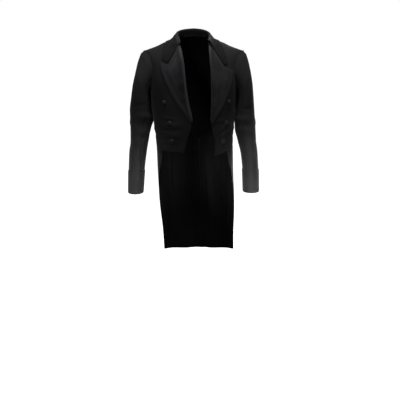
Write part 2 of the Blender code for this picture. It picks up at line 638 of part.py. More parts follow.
def make_lapel(name, side):
    """Lapel: the facing turns round the roll line and lies on the front."""
    edge = smooth(FRONT_EDGE[name], "level", "x")
    outer_x, outer_z = (smooth(LAPEL_EDGE[name], "share", column) for column in ("x", "z"))
    top, notch, tip = GORGE[name]
    leaf_shares = notched_shares(LAPEL_LEAF_COLUMNS, notch.share)
    top_level = float(level_at(np.array(top.x), np.array(top.z)))
    bottom_level = LAPEL_BOTTOM_LEVEL[name]

    def row_point(share, along):
        """Point seen from the front, at a share of the way from the roll line to the outer edge."""
        level = mix(bottom_level, top_level, along)
        roll_x = edge(level)
        roll_z = np.where(
            level > 0,
            UNDERARM_Z + (shoulder_height(np.abs(roll_x - body_centre(UNDERARM_Z))) - UNDERARM_Z)
            * np.sin(level / ARCH_LENGTH * math.pi / 2),
            UNDERARM_Z + level,
        )
        inside = np.clip(share, 0, 1)
        bend = along**3
        dip = bend * np.interp(inside, (0, notch.share, 1), (0, 1, 0))
        x = mix(roll_x, outer_x(along), share) + dip * (notch.x - mix(top.x, tip.x, notch.share))
        z = mix(roll_z, outer_z(along), share) + dip * (notch.z - mix(top.z, tip.z, notch.share))
        return x, z

    def surface(x, z):
        return front_at(x, z, side)

    def place(u, v):
        start = np.stack(row_point(np.zeros_like(v), v), axis=-1)
        end = np.stack(row_point(np.ones_like(v), v), axis=-1)
        width = np.linalg.norm(end - start, axis=-1)
        roll_size = np.clip(width / 0.030, 0.25, 1)
        count = len(LAPEL_ROLL)
        index = np.clip(np.rint(u), 0, count - 1).astype(int)
        roll_out = np.array([row.out for row in LAPEL_ROLL])[index]
        roll_height = np.array([row.height for row in LAPEL_ROLL])[index]
        roll_out = np.where(roll_out > 0, roll_out * roll_size, roll_out)
        leaf_index = np.clip(np.rint(u) - count, 0, LAPEL_LEAF_COLUMNS - 1).astype(int)
        leaf_out = np.maximum(width * leaf_shares[leaf_index], LAPEL_ROLL[-1].out * roll_size * 1.3)
        bulge = LAPEL_BULGE * np.exp(-((leaf_out / LAPEL_BULGE_REACH) ** 2)) * roll_size
        on_leaf = np.rint(u) >= count
        out = np.where(on_leaf, leaf_out, roll_out)
        height = np.where(on_leaf, LAPEL_LIE + bulge, roll_height)
        low_x, low_z = row_point(np.clip(out / width, -1, 1), v)
        return lifted(surface, low_x, low_z, height)

    columns = np.arange(len(LAPEL_ROLL) + LAPEL_LEAF_COLUMNS, dtype=float)
    return sheet("lapel_" + name, facing(side, columns), np.linspace(0, 1, 19), place, LAPEL_CLOTH, SATIN, offset=0.0)


def sleeve_surface(name, side):
    """The sleeve's outer face, by turn round the arm and step down it (0 is the armhole seam)."""
    ring = {column: smooth(SLEEVE[name], "step", column) for column in Ring._fields[1:]}

    def loop(turn):
        point = body_point(armhole_angle(turn % 360), armhole_level(turn % 360), side)
        head = np.clip(np.cos(np.radians(turn)), 0, 1) ** 8
        point[:, 0] += side * (SLEEVE_START + SLEEVE_HEAD_START * head)
        return point

    def place(turn, step):
        turn, step = np.broadcast_arrays(np.asarray(turn, float), np.asarray(step, float))
        at = np.maximum(step, 1)
        share = (1 + np.cos(np.radians(turn))) / 2
        inner = np.stack([ring["inner_x"](at), ring["centre_y"](at), ring["inner_z"](at)], axis=-1)
        outer = np.stack([ring["outer_x"](at), ring["centre_y"](at), ring["outer_z"](at)], axis=-1)
        oval = mix(inner, outer, share[:, None])
        oval[:, 1] -= ring["half_depth"](at) * np.sin(np.radians(turn))
        start = loop(turn)
        top, bottom = loop(np.zeros_like(turn)), loop(np.full_like(turn, 180.0))
        bent = start + mix(inner - bottom, outer - top, share[:, None])
        ring_point = mix(bent, oval, ring["round_share"](at)[:, None])
        return mix(start, ring_point, np.clip(step, 0, 1)[:, None])

    def creased(turn, step):
        turn, step = np.broadcast_arrays(np.asarray(turn, float), np.asarray(step, float))
        middle = mix(ring["inner_x"](step), ring["outer_x"](step), 0.5)
        point = place(turn, step)
        axis = np.stack([middle, ring["centre_y"](step), point[:, 2]], axis=-1)
        return folded(point, normalized(point - axis), turn, SLEEVE_DEGREE, SLEEVE_FOLDS[name])

    return creased


def arm_turns():
    """Turns of the armhole's corners, in order round it, on the top sleeve and on the under sleeve."""
    ahead = armhole_turns(0, FRONT_CORNER_TURN)
    behind = armhole_turns(BACK_CORNER_TURN, 360)
    below = np.linspace(FRONT_CORNER_TURN, BACK_CORNER_TURN, 9)
    top = np.concatenate([behind[:-1] - 360, ahead[ahead <= FOREARM_SEAM_TURN]])
    return top, np.concatenate([ahead[ahead >= FOREARM_SEAM_TURN], below[1:]])


SLEEVE_STEPS = (0, 0.5, 1, 2, 3, 4, 5, 6, 6.5, 7, 7.5, 8, 8.5, 9, 9.5, 10, 10.5, 11)


def make_sleeve(name, side):
    """Top sleeve and under sleeve, which meet at the forearm and hindarm seams."""
    surface = sleeve_surface(name, side)
    for kind, turns in zip(("top_sleeve_", "under_sleeve_"), arm_turns()):
        turns = turns.copy()
        turns[0] += SLEEVE_SEAM_TURN
        turns[-1] -= SLEEVE_SEAM_TURN
        sheet(kind + name, facing(side, turns), SLEEVE_STEPS, surface, SLEEVE_CLOTH, BARATHEA)


def make_cuff(name, side):
    """Turned-back cuff, a band round the end of the sleeve."""
    surface = sleeve_surface(name, side)
    rings = SLEEVE[name]
    top_step = 11 - CUFF_HEIGHT / (rings[-2].outer_z - rings[-1].outer_z)
    top, under = arm_turns()
    turns = np.concatenate([top, under[1:]])

    def place(turn, step):
        return lifted(surface, turn, step, np.full(len(turn), CUFF_LIFT * side))

    steps = np.unique([top_step] + [step for step in SLEEVE_STEPS if step > top_step])
    return sheet("cuff_" + name, facing(side, turns), steps, place, SLEEVE_CLOTH, BARATHEA, closed=True)


def outside(points, least, snap):
    """Points moved out of the body's face to at least that height, or, as snap nears 1, onto exactly that height."""
    angles, levels = np.meshgrid(np.linspace(0, 180, 181), np.linspace(-0.10, ARCH_LENGTH, 87))
    moved = []
    grids = []
    for side in (-1, 1):
        grid = body_point(angles.ravel(), levels.ravel(), side)
        step = body_point(angles.ravel() + 0.1, levels.ravel(), side) - grid
        rise = body_point(angles.ravel(), levels.ravel() - 1e-4, side) - grid
        normal = normalized(np.cross(step, rise)) * -side
        grids.append((grid, normal))
    grid = np.concatenate([grids[0][0], grids[1][0]])
    normal = np.concatenate([grids[0][1], grids[1][1]])
    tree = KDTree(len(grid))
    for i, point in enumerate(grid):
        tree.insert(point, i)
    tree.balance()
    for point, height, hold in zip(points, least, snap):
        i = tree.find(point)[1]
        above = (point - grid[i]) @ normal[i]
        lift = height - above
        moved.append(point + normal[i] * (lift if lift > 0 else lift * hold))
    return np.array(moved)


def neck_seam(share, name, side):
    """The neck edge of the back and the forepart, from the nape to the top of the lapel."""
    edge = smooth(FRONT_EDGE[name], "level", "x")
    gorge_level = float(level_at(np.array(GORGE[name][0].x), np.array(GORGE[name][0].z)))
    behind = share < COLLAR_SIDE_NECK_SHARE
    sweep = np.clip(share / COLLAR_SIDE_NECK_SHARE, 0, 1) * math.pi / 2
    out = NECK_HALF_WIDTH * np.sin(sweep)
    back_level = neck_level(out)
    back_x = body_centre(UNDERARM_Z) + side * out
    back = body_point(angle_at(back_x, back_level, side, behind=True), back_level, side)
    front_share = np.clip((share - COLLAR_SIDE_NECK_SHARE) / (1 - COLLAR_SIDE_NECK_SHARE), 0, 1)
    front_level = mix(ARCH_LENGTH, gorge_level + 0.0065, front_share)
    front_x = edge(front_level)
    front = body_point(angle_at(front_x, front_level, side), front_level, side)
    return np.where(behind[:, None], back, front)


def make_collar():
    """Collar: the stand rises from the neck seam, turns over at the fold, and the leaf comes down over the seam."""
    standing = (0.0, 0.5, 1.0)
    bend = (45, 90, 135, 180)
    count = len(standing) + len(bend)

    def half(u, share, name, side):
        table = COLLAR[name]
        fold = np.stack([smooth(table, "share", "fold_" + axis)(share) for axis in "xyz"], axis=-1)
        ahead = np.stack([smooth(table, "share", "fold_" + axis)(share + 0.01) for axis in "xyz"], axis=-1)
        before = np.stack([smooth(table, "share", "fold_" + axis)(share - 0.01) for axis in "xyz"], axis=-1)
        edge = np.stack([smooth(table, "share", "edge_" + axis)(share) for axis in "xyz"], axis=-1)
        seam = neck_seam(share, name, side)
        up = normalized(fold - seam)
        seam = seam + up * NECK_GAP
        path = normalized(ahead - before)
        path[np.abs(share) < 1e-6] = (1.0 * side, 0.0, 0.0)
        out = normalized(np.cross(path, up)) * -side
        centre = fold - up * COLLAR_FOLD_RADIUS
        inner = centre - out * COLLAR_FOLD_RADIUS
        outer = centre + out * COLLAR_FOLD_RADIUS
        index = np.rint(u).astype(int)
        stand_share = np.array(standing)[np.clip(index, 0, 2)]
        stand = mix(seam, inner, stand_share[:, None])
        turn = np.radians(np.array(bend)[np.clip(index - len(standing), 0, len(bend) - 1)])
        rolled = centre - out * (COLLAR_FOLD_RADIUS * np.cos(turn))[:, None]
        rolled = rolled + up * (COLLAR_FOLD_RADIUS * np.sin(turn))[:, None]
        notch_share = mix(0.75, COLLAR_NOTCH_SHARE[name], share)
        leaf_share = notched_shares(COLLAR_LEAF_COLUMNS, notch_share)[
            np.clip(index - count, 0, COLLAR_LEAF_COLUMNS - 1), np.arange(len(index))
        ]
        leaf = mix(outer, edge, leaf_share[:, None])
        notch = GORGE[name][1]
        end_bend = np.clip((share - 0.85) / 0.15, 0, 1) ** 2
        lower = np.minimum(leaf_share / notch_share, (1 - leaf_share) / (1 - notch_share)) * end_bend
        chord = mix(outer, edge, notch_share[:, None])
        leaf[:, 0] += lower * (notch.x + side * GORGE_GAP - chord[:, 0])
        leaf[:, 2] += lower * (notch.z + GORGE_GAP - chord[:, 2])
        leaf = outside(leaf, np.full(len(leaf), COLLAR_LIE), np.clip(leaf_share * 1.4 - 0.4, 0, 1))
        return np.where(
            (index < len(standing))[:, None], stand, np.where((index < count)[:, None], rolled, leaf)
        )

    def place(u, along):
        share = np.abs(along)
        right, left = (half(u, share, name, side) for name, side in SIDES.items())
        return np.where((along < 0)[:, None], right, left)

    columns = np.arange(count + COLLAR_LEAF_COLUMNS, dtype=float)
    rows = np.linspace(-1, 1, 29)
    return sheet("collar", columns[::-1], rows, place, COLLAR_CLOTH, VELVET, offset=0.0)


def make_button(name, point, normal, radius):
    """Cloth-covered button: a domed front and a flatter back, standing on its thread."""
    mesh = bpy.data.meshes.new(name)
    bm = bmesh.new()
    bmesh.ops.create_uvsphere(bm, u_segments=12, v_segments=6, radius=radius)
    height = BUTTON_HEIGHT * radius / BUTTON_RADIUS
    for vert in bm.verts:
        vert.co.z *= (0.72 if vert.co.z > 0 else 0.28) * height / radius
    turn = Vector(normal).to_track_quat("Z", "Y").to_matrix().to_4x4()
    base = Vector(point) + Vector(normal) * (0.28 * height + BUTTON_STANDOFF)
    bmesh.ops.transform(bm, matrix=Matrix.Translation(base) @ turn, verts=bm.verts)
    bm.to_mesh(mesh)
    bm.free()
    return finish(bpy.data.objects.new(name, mesh), COVERED)


def seated(cloth, point, normal, radius):
    """The point moved along the normal until a button over it just clears the cloth by its standoff."""
    tree = BVHTree.FromObject(cloth, bpy.context.evaluated_depsgraph_get())
    point, normal = Vector(point), Vector(normal)
    across = normal.orthogonal().normalized()
    along = normal.cross(across)
    back_rise = 0.28 * BUTTON_HEIGHT * radius / BUTTON_RADIUS
    highest = -1.0
    for share in (0.0, 0.35, 0.6, 0.8, 0.95):
        for turn in range(0, 360, 30):
            out = across * math.cos(math.radians(turn)) + along * math.sin(math.radians(turn))
            start = point + out * share * radius + normal * 0.03
            distance = tree.ray_cast(start, -normal, 0.06)[3]
            if distance is not None:
                highest = max(highest, 0.03 - distance - back_rise * (1 - math.sqrt(1 - share**2)))
    return point + normal * highest


def make_buttons(name, side, front, back):
    for number, button in enumerate(FRONT_BUTTONS[name], 1):
        x, z = np.array([button.x]), np.array([button.z])
        point = front_at(x, z, side)
        normal = (lifted(lambda a, b: front_at(a, b, side), x, z, np.ones(1)) - point)[0]
        seat = seated(front, point[0], normal, BUTTON_RADIUS)
        make_button(f"button_{name}_{number}", seat, normal, BUTTON_RADIUS)
    level = np.array([BACK_BUTTON_Z - UNDERARM_Z])
    angle = angle_at(body_centre(BACK_BUTTON_Z) + side * BACK_BUTTON_OUT, level, side, behind=True)

    def surface(a, b):
        return body_point(a, b, side)

    point = surface(angle, level)
    normal = (lifted(surface, angle, level, np.full(1, float(side))) - point)[0]
    make_button(f"button_back_{name}", seated(back, point[0], normal, BACK_BUTTON_RADIUS), normal, BACK_BUTTON_RADIUS)


collection = bpy.data.collections.new("white_tie_tailcoat")


def main():
    for old in list(bpy.data.objects):
        bpy.data.objects.remove(old)
    bpy.context.scene.collection.children.link(collection)
    for name, side in SIDES.items():
        front = make_front(name, side)
        make_side_body(name, side)
        make_tail(name, side)
        back = make_back(name, side)
        make_lapel(name, side)
        make_sleeve(name, side)
        make_cuff(name, side)
        make_buttons(name, side, front, back)
    make_collar()


main()
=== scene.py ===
"""White tie tailcoat, worn open: the finished look of its cut and sewn cloth pieces.

Metres, +Z up, the wearer faces -Y, and "left" and "right" are the wearer's. The pieces follow the curves of
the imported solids, drawn finer, with the smaller creases and the finishes added.
"""

import logging
import math
from collections.abc import Callable, Sequence
from dataclasses import dataclass, field
from enum import Enum
from typing import NamedTuple

import bmesh
import bpy
import numpy as np
from mathutils import Matrix, Vector
from mathutils.bvhtree import BVHTree
from mathutils.kdtree import KDTree


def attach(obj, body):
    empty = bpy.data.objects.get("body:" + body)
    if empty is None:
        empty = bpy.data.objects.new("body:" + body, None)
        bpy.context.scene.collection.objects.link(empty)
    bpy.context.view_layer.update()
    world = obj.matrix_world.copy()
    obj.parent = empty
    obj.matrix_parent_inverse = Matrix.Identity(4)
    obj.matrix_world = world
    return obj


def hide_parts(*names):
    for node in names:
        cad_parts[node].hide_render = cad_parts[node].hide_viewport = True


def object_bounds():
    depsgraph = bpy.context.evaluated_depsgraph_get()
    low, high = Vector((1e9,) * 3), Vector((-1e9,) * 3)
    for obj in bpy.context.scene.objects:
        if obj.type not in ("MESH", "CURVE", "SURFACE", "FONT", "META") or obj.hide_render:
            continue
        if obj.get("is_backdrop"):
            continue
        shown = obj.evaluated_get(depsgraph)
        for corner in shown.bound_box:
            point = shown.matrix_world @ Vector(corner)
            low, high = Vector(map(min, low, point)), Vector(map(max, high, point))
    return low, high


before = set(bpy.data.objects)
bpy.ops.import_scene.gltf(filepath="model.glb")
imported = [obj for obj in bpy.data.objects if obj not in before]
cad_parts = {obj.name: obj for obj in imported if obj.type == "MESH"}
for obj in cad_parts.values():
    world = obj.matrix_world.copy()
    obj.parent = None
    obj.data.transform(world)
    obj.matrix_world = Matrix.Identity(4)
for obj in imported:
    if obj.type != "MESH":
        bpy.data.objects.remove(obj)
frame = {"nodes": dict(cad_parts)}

log = logging.getLogger("tailcoat")

CAD_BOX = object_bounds()

Numbers = np.ndarray | float
Placing = Callable[[np.ndarray, np.ndarray], np.ndarray]
Colour = tuple[float, float, float]

# Metres in one degree of the planes that creases are drawn in: round the body, and round the arm.
BODY_DEGREE, ARM_DEGREE = 0.0029, 0.0011

# A crease starts at this share of its half wave, and swells with this power of the wave.
END_RISE, END_FADE = 0.04, 0.7

# Folded pieces dip at their edges by this, less than the others.
TURNED_EDGE_DIP = 0.0002

# Step of a sleeve's hem in its rings.
HEM_STEP = 11.0


class Side(Enum):
    """The wearer's two sides; the value is the side's direction along X."""

    RIGHT = -1
    LEFT = 1

    @property
    def label(self) -> str:
        """The side's word in the names of the pieces."""
        return self.name.lower()


class Rim(Enum):
    """What a piece's second UV map measures, in metres."""

    NEAREST = "distance to the nearest long edge, and to the nearest end"
    FIRST = "distance to the first long edge, and to the far end"
    LAST = "distance to the last long edge, and to the far end"


class Section(NamedTuple):
    """Level section of the body: half width, depth in front and behind, and the middle."""

    z: float
    half_width: float
    front: float
    back: float
    centre_x: float


class Chest(NamedTuple):
    """Half width between the underarm (rise 0) and the shoulder seam (rise 1)."""

    rise: float
    half_width: float


class Shoulder(NamedTuple):
    """Height of the shoulder line, out from the middle of the neck."""

    out: float
    z: float


class Armhole(NamedTuple):
    """Corner of the armhole seam: turn is counted from the shoulder point through the front."""

    turn: float
    angle: float
    level: float


class Edge(NamedTuple):
    """Point of a forepart's inner edge, at a level from the underarm."""

    level: float
    x: float


class Seam(NamedTuple):
    """Point of the seam between the side body and the back."""

    level: float
    angle: float


class TailEdge(NamedTuple):
    """Angles of the tail's free front edge and of its pleat, at one height."""

    z: float
    front_angle: float
    pleat_angle: float


class Outline(NamedTuple):
    """Point of a lapel's outline, seen from the front."""

    share: float
    x: float
    z: float


class Roll(NamedTuple):
    """Point of the lapel's roll: distance from the edge and height over the front."""

    index: float
    out: float
    height: float


class Leaf(NamedTuple):
    """Fold and leaf edge of the collar, at a share of the way from the nape to its corner."""

    share: float
    fold_x: float
    fold_y: float
    fold_z: float
    edge_x: float
    edge_y: float
    edge_z: float


class Ring(NamedTuple):
    """Ring of a sleeve: its points nearest to and furthest from the body."""

    step: float
    inner_x: float
    inner_z: float
    outer_x: float
    outer_z: float
    half_depth: float
    centre_y: float
    round_share: float


class Spot(NamedTuple):
    """Place of a button, seen from the front."""

    x: float
    z: float


class Crease(NamedTuple):
    """A soft fold: a ridge where its height is over zero, a trough where it is under.

    steep under 1 makes it narrower, and so steeper, on one side.
    """

    start: tuple[float, float]
    end: tuple[float, float]
    width: float
    height: float
    bow: float = 0.0
    steep: float = 0.6

    def relief(self, a: np.ndarray, b: np.ndarray, scale: tuple[float, float]) -> np.ndarray:
        """Height of the fold at each point.

        Args:
            a: First coordinate of the points in the plane of the piece.
            b: Second coordinate of the points.
            scale: Metres in one unit of each coordinate.

        Returns:
            Metres out from the cloth.
        """
        start = np.array(self.start) * scale
        span = np.array(self.end) * scale - start
        length = max(float(np.linalg.norm(span)), 1e-6)
        offset_a, offset_b = a * scale[0] - start[0], b * scale[1] - start[1]
        share = (offset_a * span[0] + offset_b * span[1]) / length**2
        inside = np.clip(share, 0, 1)
        beyond = (share - inside) * length
        across = (offset_b * span[0] - offset_a * span[1]) / length - self.bow * 4 * inside * (1 - inside)
        width = np.where(across > 0, self.width, self.width * self.steep)
        fade = np.sin(math.pi * mix(END_RISE, 1 - END_RISE, inside)) ** END_FADE
        return self.height * np.exp(-((across / width) ** 2) - (beyond / self.width) ** 2) * fade


Creases = dict[Side, tuple[Crease, ...]]


class Plane(NamedTuple):
    """Where a piece's creases are drawn.

    The rule takes the piece's points and their first grid coordinate, and gives two coordinates; unit is the
    metres in one step of the first of them.
    """

    rule: Callable[[np.ndarray, np.ndarray], tuple[np.ndarray, np.ndarray]]
    unit: float = 1.0


FRONT_PLANE = Plane(lambda points, _: (points[..., 0], points[..., 2]))
ARM_PLANE = Plane(lambda points, turn: (turn, points[..., 2]), ARM_DEGREE)


class Curve:
    """A smooth curve through one column of a table, which keeps within the table's values."""

    def __init__(self, rows: Sequence[tuple], key: str, column: str) -> None:
        """Sets the curve's slopes.

        Args:
            rows: The table's rows.
            key: Column that the curve runs along.
            column: Column that the curve gives.
        """
        ordered = sorted(rows, key=lambda row: getattr(row, key))
        self.xs = np.array([getattr(row, key) for row in ordered], float)
        self.ys = np.array([getattr(row, column) for row in ordered], float)
        self.slopes = np.gradient(self.ys, self.xs)
        steps = np.diff(self.ys) / np.diff(self.xs)
        for i, (before, after) in enumerate(zip(steps, steps[1:]), 1):
            self.slopes[i] = 0.0 if before * after <= 0 else 2 * before * after / (before + after)

    def __call__(self, at: Numbers) -> np.ndarray:
        """Values of the curve at these keys."""
        at = np.clip(np.asarray(at, float), self.xs[0], self.xs[-1])
        i = np.clip(np.searchsorted(self.xs, at) - 1, 0, len(self.xs) - 2)
        width = self.xs[i + 1] - self.xs[i]
        t = (at - self.xs[i]) / width
        rise = self.ys[i] * (1 + 2 * t) * (1 - t) ** 2 + self.ys[i + 1] * t * t * (3 - 2 * t)
        return rise + width * (self.slopes[i] * t * (1 - t) ** 2 - self.slopes[i + 1] * t * t * (1 - t))


def mix(a: Numbers, b: Numbers, share: Numbers) -> np.ndarray:
    """A share of the way from a to b."""
    return a * (1 - share) + b * share


def ease(share: Numbers) -> np.ndarray:
    """Soft step from 0 to 1."""
    share = np.clip(share, 0, 1)
    return share * share * (3 - 2 * share)


def normalized(vectors: np.ndarray) -> np.ndarray:
    """Vectors of length one."""
    return vectors / np.maximum(np.linalg.norm(vectors, axis=-1, keepdims=True), 1e-12)


def lifted(surface: Placing, a: np.ndarray, b: np.ndarray, height: Numbers) -> np.ndarray:
    """Points of a surface moved out from it.

    Args:
        surface: Rule that places a and b.
        a: First coordinate.
        b: Second coordinate.
        height: Metres along the normal, the cross product of the steps in a and in b.

    Returns:
        The moved points.
    """
    step = 1e-4
    along_a = surface(a + step, b) - surface(a - step, b)
    along_b = surface(a, b + step) - surface(a, b - step)
    return surface(a, b) + normalized(np.cross(along_a, along_b)) * np.asarray(height)[..., None]


@dataclass
class CoatForm:
    """The worn shape that the body pieces lie on, and the seams drawn on it."""

    underarm_z: float = -0.215
    arch_length: float = 0.33
    section_power: float = 2.6
    neck_half_width: float = 0.075
    neck_back_depth: float = 0.068
    seam_gap: float = -0.0003
    front_corner_turn: float = 135.0
    back_corner_turn: float = 245.0
    front_hem_end_z: float = -0.492
    front_hem_end_angle: float = 51.3
    waist_back_z: float = -0.450
    waist_back_angle: float = 165.8
    tail_hem_z: float = -1.023
    pleat_gap: float = 0.03
    flute_depth: float = 0.0065
    flutes: float = 2.0
    flute_drop: float = 0.06
    flute_angle: float = 100.0
    flute_span: float = 80.0
    sections: tuple[Section, ...] = (
        Section(-0.215, 0.2000, 0.128, 0.120, -0.004),
        Section(-0.300, 0.1940, 0.130, 0.112, -0.004),
        Section(-0.380, 0.1860, 0.127, 0.098, -0.003),
        Section(-0.450, 0.1800, 0.122, 0.089, -0.001),
        Section(-0.520, 0.1770, 0.119, 0.097, 0.001),
        Section(-0.620, 0.1760, 0.117, 0.117, 0.003),
        Section(-0.740, 0.1765, 0.115, 0.129, 0.008),
        Section(-0.880, 0.1800, 0.112, 0.132, 0.015),
        Section(-1.030, 0.1870, 0.110, 0.128, 0.020),
    )
    chest: tuple[Chest, ...] = (
        Chest(0.0, 0.2000),
        Chest(0.3, 0.2030),
        Chest(0.6, 0.2130),
        Chest(1.0, 0.2275),
    )
    shoulder: tuple[Shoulder, ...] = (
        Shoulder(0.000, 0.0700),
        Shoulder(0.030, 0.0580),
        Shoulder(0.055, 0.0340),
        Shoulder(0.075, 0.0140),
        Shoulder(0.105, 0.0000),
        Shoulder(0.135, -0.0105),
        Shoulder(0.165, -0.0250),
        Shoulder(0.200, -0.0380),
        Shoulder(0.260, -0.0580),
    )
    armhole: tuple[Armhole, ...] = (
        Armhole(0, 90, 0.330),
        Armhole(24, 79, 0.297),
        Armhole(48, 68, 0.2475),
        Armhole(70, 60, 0.1815),
        Armhole(92, 58, 0.1155),
        Armhole(115, 62, 0.0495),
        Armhole(135, 68, 0.000),
        Armhole(158, 80, -0.012),
        Armhole(180, 90, -0.016),
        Armhole(202, 100, -0.010),
        Armhole(225, 111, 0.012),
        Armhole(245, 118, 0.0825),
        Armhole(265, 120, 0.1485),
        Armhole(290, 115, 0.2145),
        Armhole(320, 104, 0.2805),
        Armhole(360, 90, 0.330),
    )
    back_seam: tuple[Seam, ...] = (
        Seam(-0.235, 165.8),
        Seam(-0.165, 151.0),
        Seam(-0.085, 136.0),
        Seam(0.0, 123.5),
        Seam(0.0825, 118.0),
    )
    tail: tuple[TailEdge, ...] = (
        TailEdge(-1.030, 117.0, 157.4),
        TailEdge(-0.900, 112.0, 159.5),
        TailEdge(-0.780, 103.0, 161.3),
        TailEdge(-0.680, 90.0, 162.8),
        TailEdge(-0.600, 72.0, 164.0),
        TailEdge(-0.540, 57.0, 164.8),
        TailEdge(-0.490, 51.3, 165.3),
        TailEdge(-0.450, 50.0, 165.8),
    )

    def __post_init__(self) -> None:
        """Draws the curves through the tables."""
        self.half_width = Curve(self.sections, "z", "half_width")
        self.front_depth = Curve(self.sections, "z", "front")
        self.back_depth = Curve(self.sections, "z", "back")
        self.centre = Curve(self.sections, "z", "centre_x")
        self.chest_half_width = Curve(self.chest, "rise", "half_width")
        self.shoulder_height = Curve(self.shoulder, "out", "z")
        self.armhole_angle = Curve(self.armhole, "turn", "angle")
        self.armhole_level = Curve(self.armhole, "turn", "level")
        self.back_seam_angle = Curve(self.back_seam, "level", "angle")
        self.tail_front_angle = Curve(self.tail, "z", "front_angle")
        self.pleat_angle = Curve(self.tail, "z", "pleat_angle")
        self.middle_x = float(self.centre(self.underarm_z))
        self.gap_angle = math.degrees(self.seam_gap / 2 / float(self.half_width(self.underarm_z)))

    def point(self, angle: Numbers, level: Numbers, side: int) -> np.ndarray:
        """Outer face of the coat's body.

        Args:
            angle: Degrees round the body, 0 at the centre front and 180 at the centre back.
            level: Metres from the underarm; above it, the length up the arch to the shoulder seam.
            side: Direction of the side along X.

        Returns:
            The points.
        """
        angle, level = np.broadcast_arrays(np.asarray(angle, float), np.asarray(level, float))
        turn = np.radians(angle)
        across, along = np.sin(turn), np.cos(turn)
        power = self.section_power
        reach = (np.abs(across) ** power + np.abs(along) ** power) ** (-1 / power)
        z = self.underarm_z + np.minimum(level, 0)
        rise = np.clip(level / self.arch_length, 0, 1)
        half_width = np.where(level > 0, self.chest_half_width(rise), self.half_width(z))
        depth = np.where(along >= 0, -self.front_depth(z), self.back_depth(z))
        out = half_width * reach * across
        arch = rise * math.pi / 2
        y = depth * reach * np.abs(along) * np.cos(arch)
        height = z + (self.shoulder_height(out) - self.underarm_z) * np.sin(arch)
        return np.stack([self.centre(z) + side * out, y, height], axis=-1)

    def angle_at(self, x: Numbers, level: Numbers, side: int, behind: bool = False) -> np.ndarray:
        """Angle round the body of the point with that x at that level."""
        z = self.underarm_z + np.minimum(level, 0)
        rise = np.clip(np.asarray(level, float) / self.arch_length, 0, 1)
        half_width = np.where(np.asarray(level) > 0, self.chest_half_width(rise), self.half_width(z))
        share = np.clip(side * (x - self.centre(z)) / half_width, -0.999, 0.999)
        depth = (1 - np.abs(share) ** self.section_power) ** (1 / self.section_power)
        angle = np.degrees(np.arctan2(share, depth))
        return 180 - angle if behind else angle

    def level_at(self, x: Numbers, z: Numbers) -> np.ndarray:
        """Level of the front's point seen at x and z."""
        out = np.abs(x - self.middle_x)
        share = np.clip((z - self.underarm_z) / (self.shoulder_height(out) - self.underarm_z), 0, 1)
        arch = np.arcsin(share) / (math.pi / 2) * self.arch_length
        return np.where(z > self.underarm_z, arch, z - self.underarm_z)

    def front_at(self, x: np.ndarray, z: np.ndarray, side: int) -> np.ndarray:
        """Outer face of the front at x and z."""
        level = self.level_at(x, z)
        return self.point(self.angle_at(x, level, side), level, side)

    def hung(self, angle: Numbers, level: np.ndarray, side: int) -> np.ndarray:
        """The body's face with the soft flutes of the hanging tails."""
        point = self.point(angle, level, side)
        z = self.underarm_z + np.minimum(level, 0)
        fade_top = self.waist_back_z - self.flute_drop
        fall = np.clip((fade_top - z) / (fade_top - self.tail_hem_z), 0, 1)
        past = np.broadcast_to(angle, np.shape(z)) - self.flute_angle
        wave = np.cos(math.radians(360) * self.flutes * past / self.flute_span)
        outwards = point - np.stack([self.centre(z), np.zeros_like(z), z], axis=-1)
        return point + normalized(outwards) * (self.flute_depth * fall**1.3 * wave)[..., None]

    def waist_z(self, share: Numbers) -> np.ndarray:
        """Height of the waist seam, from the forepart's hem (share 0) to the back."""
        return mix(self.front_hem_end_z, self.waist_back_z, share)

    def neck_level(self, out: Numbers) -> np.ndarray:
        """Level of the back neck seam, out from the middle."""
        y = self.neck_back_depth * np.sqrt(np.clip(1 - (out / self.neck_half_width) ** 2, 0, 1))
        share = (out / self.chest_half_width(0.8)) ** self.section_power
        full = self.back_depth(self.underarm_z) * (1 - share) ** (1 / self.section_power)
        return np.arccos(np.clip(y / full, 0, 1)) / (math.pi / 2) * self.arch_length

    def round_plane(self, points: np.ndarray, _: np.ndarray) -> tuple[np.ndarray, np.ndarray]:
        """Degrees round the body and height, which the creases of sides and tails are drawn in."""
        across = np.abs(points[..., 0] - self.centre(points[..., 2]))
        return np.degrees(np.arctan2(across, -points[..., 1])), points[..., 2]


class Term:
    """A shader socket that takes part in Python expressions."""

    def __init__(self, shader: "Shader", socket: bpy.types.NodeSocket) -> None:
        """Keeps the socket with the shader that it is in."""
        self.shader = shader
        self.socket = socket

    def _math(self, operation: str, *others: "Term | float", swapped: bool = False) -> "Term":
        """Adds the Math node of an operation on this term and the others."""
        terms = [self, *others][:: -1 if swapped else 1]
        return self.shader.node("ShaderNodeMath", {"operation": operation}, dict(enumerate(terms)))

    def __add__(self, other: "Term | float") -> "Term":
        """Sum."""
        return self._math("ADD", other)

    def __sub__(self, other: "Term | float") -> "Term":
        """Difference."""
        return self._math("SUBTRACT", other)

    def __rsub__(self, other: "Term | float") -> "Term":
        """Difference from a number."""
        return self._math("SUBTRACT", other, swapped=True)

    def __mul__(self, other: "Term | float") -> "Term":
        """Product."""
        return self._math("MULTIPLY", other)

    def sine(self) -> "Term":
        """Sine of radians."""
        return self._math("SINE")

    def size(self) -> "Term":
        """Absolute value."""
        return self._math("ABSOLUTE")

    def at_most(self, other: "Term | float") -> "Term":
        """The smaller of two."""
        return self._math("MINIMUM", other)

    def band(self, start: float, end: float) -> "Term":
        """Soft step from 0 at start to 1 at end."""
        inputs = {"Value": self, "From Min": start, "From Max": end}
        return self.shader.node("ShaderNodeMapRange", {"interpolation_type": "SMOOTHSTEP"}, inputs)


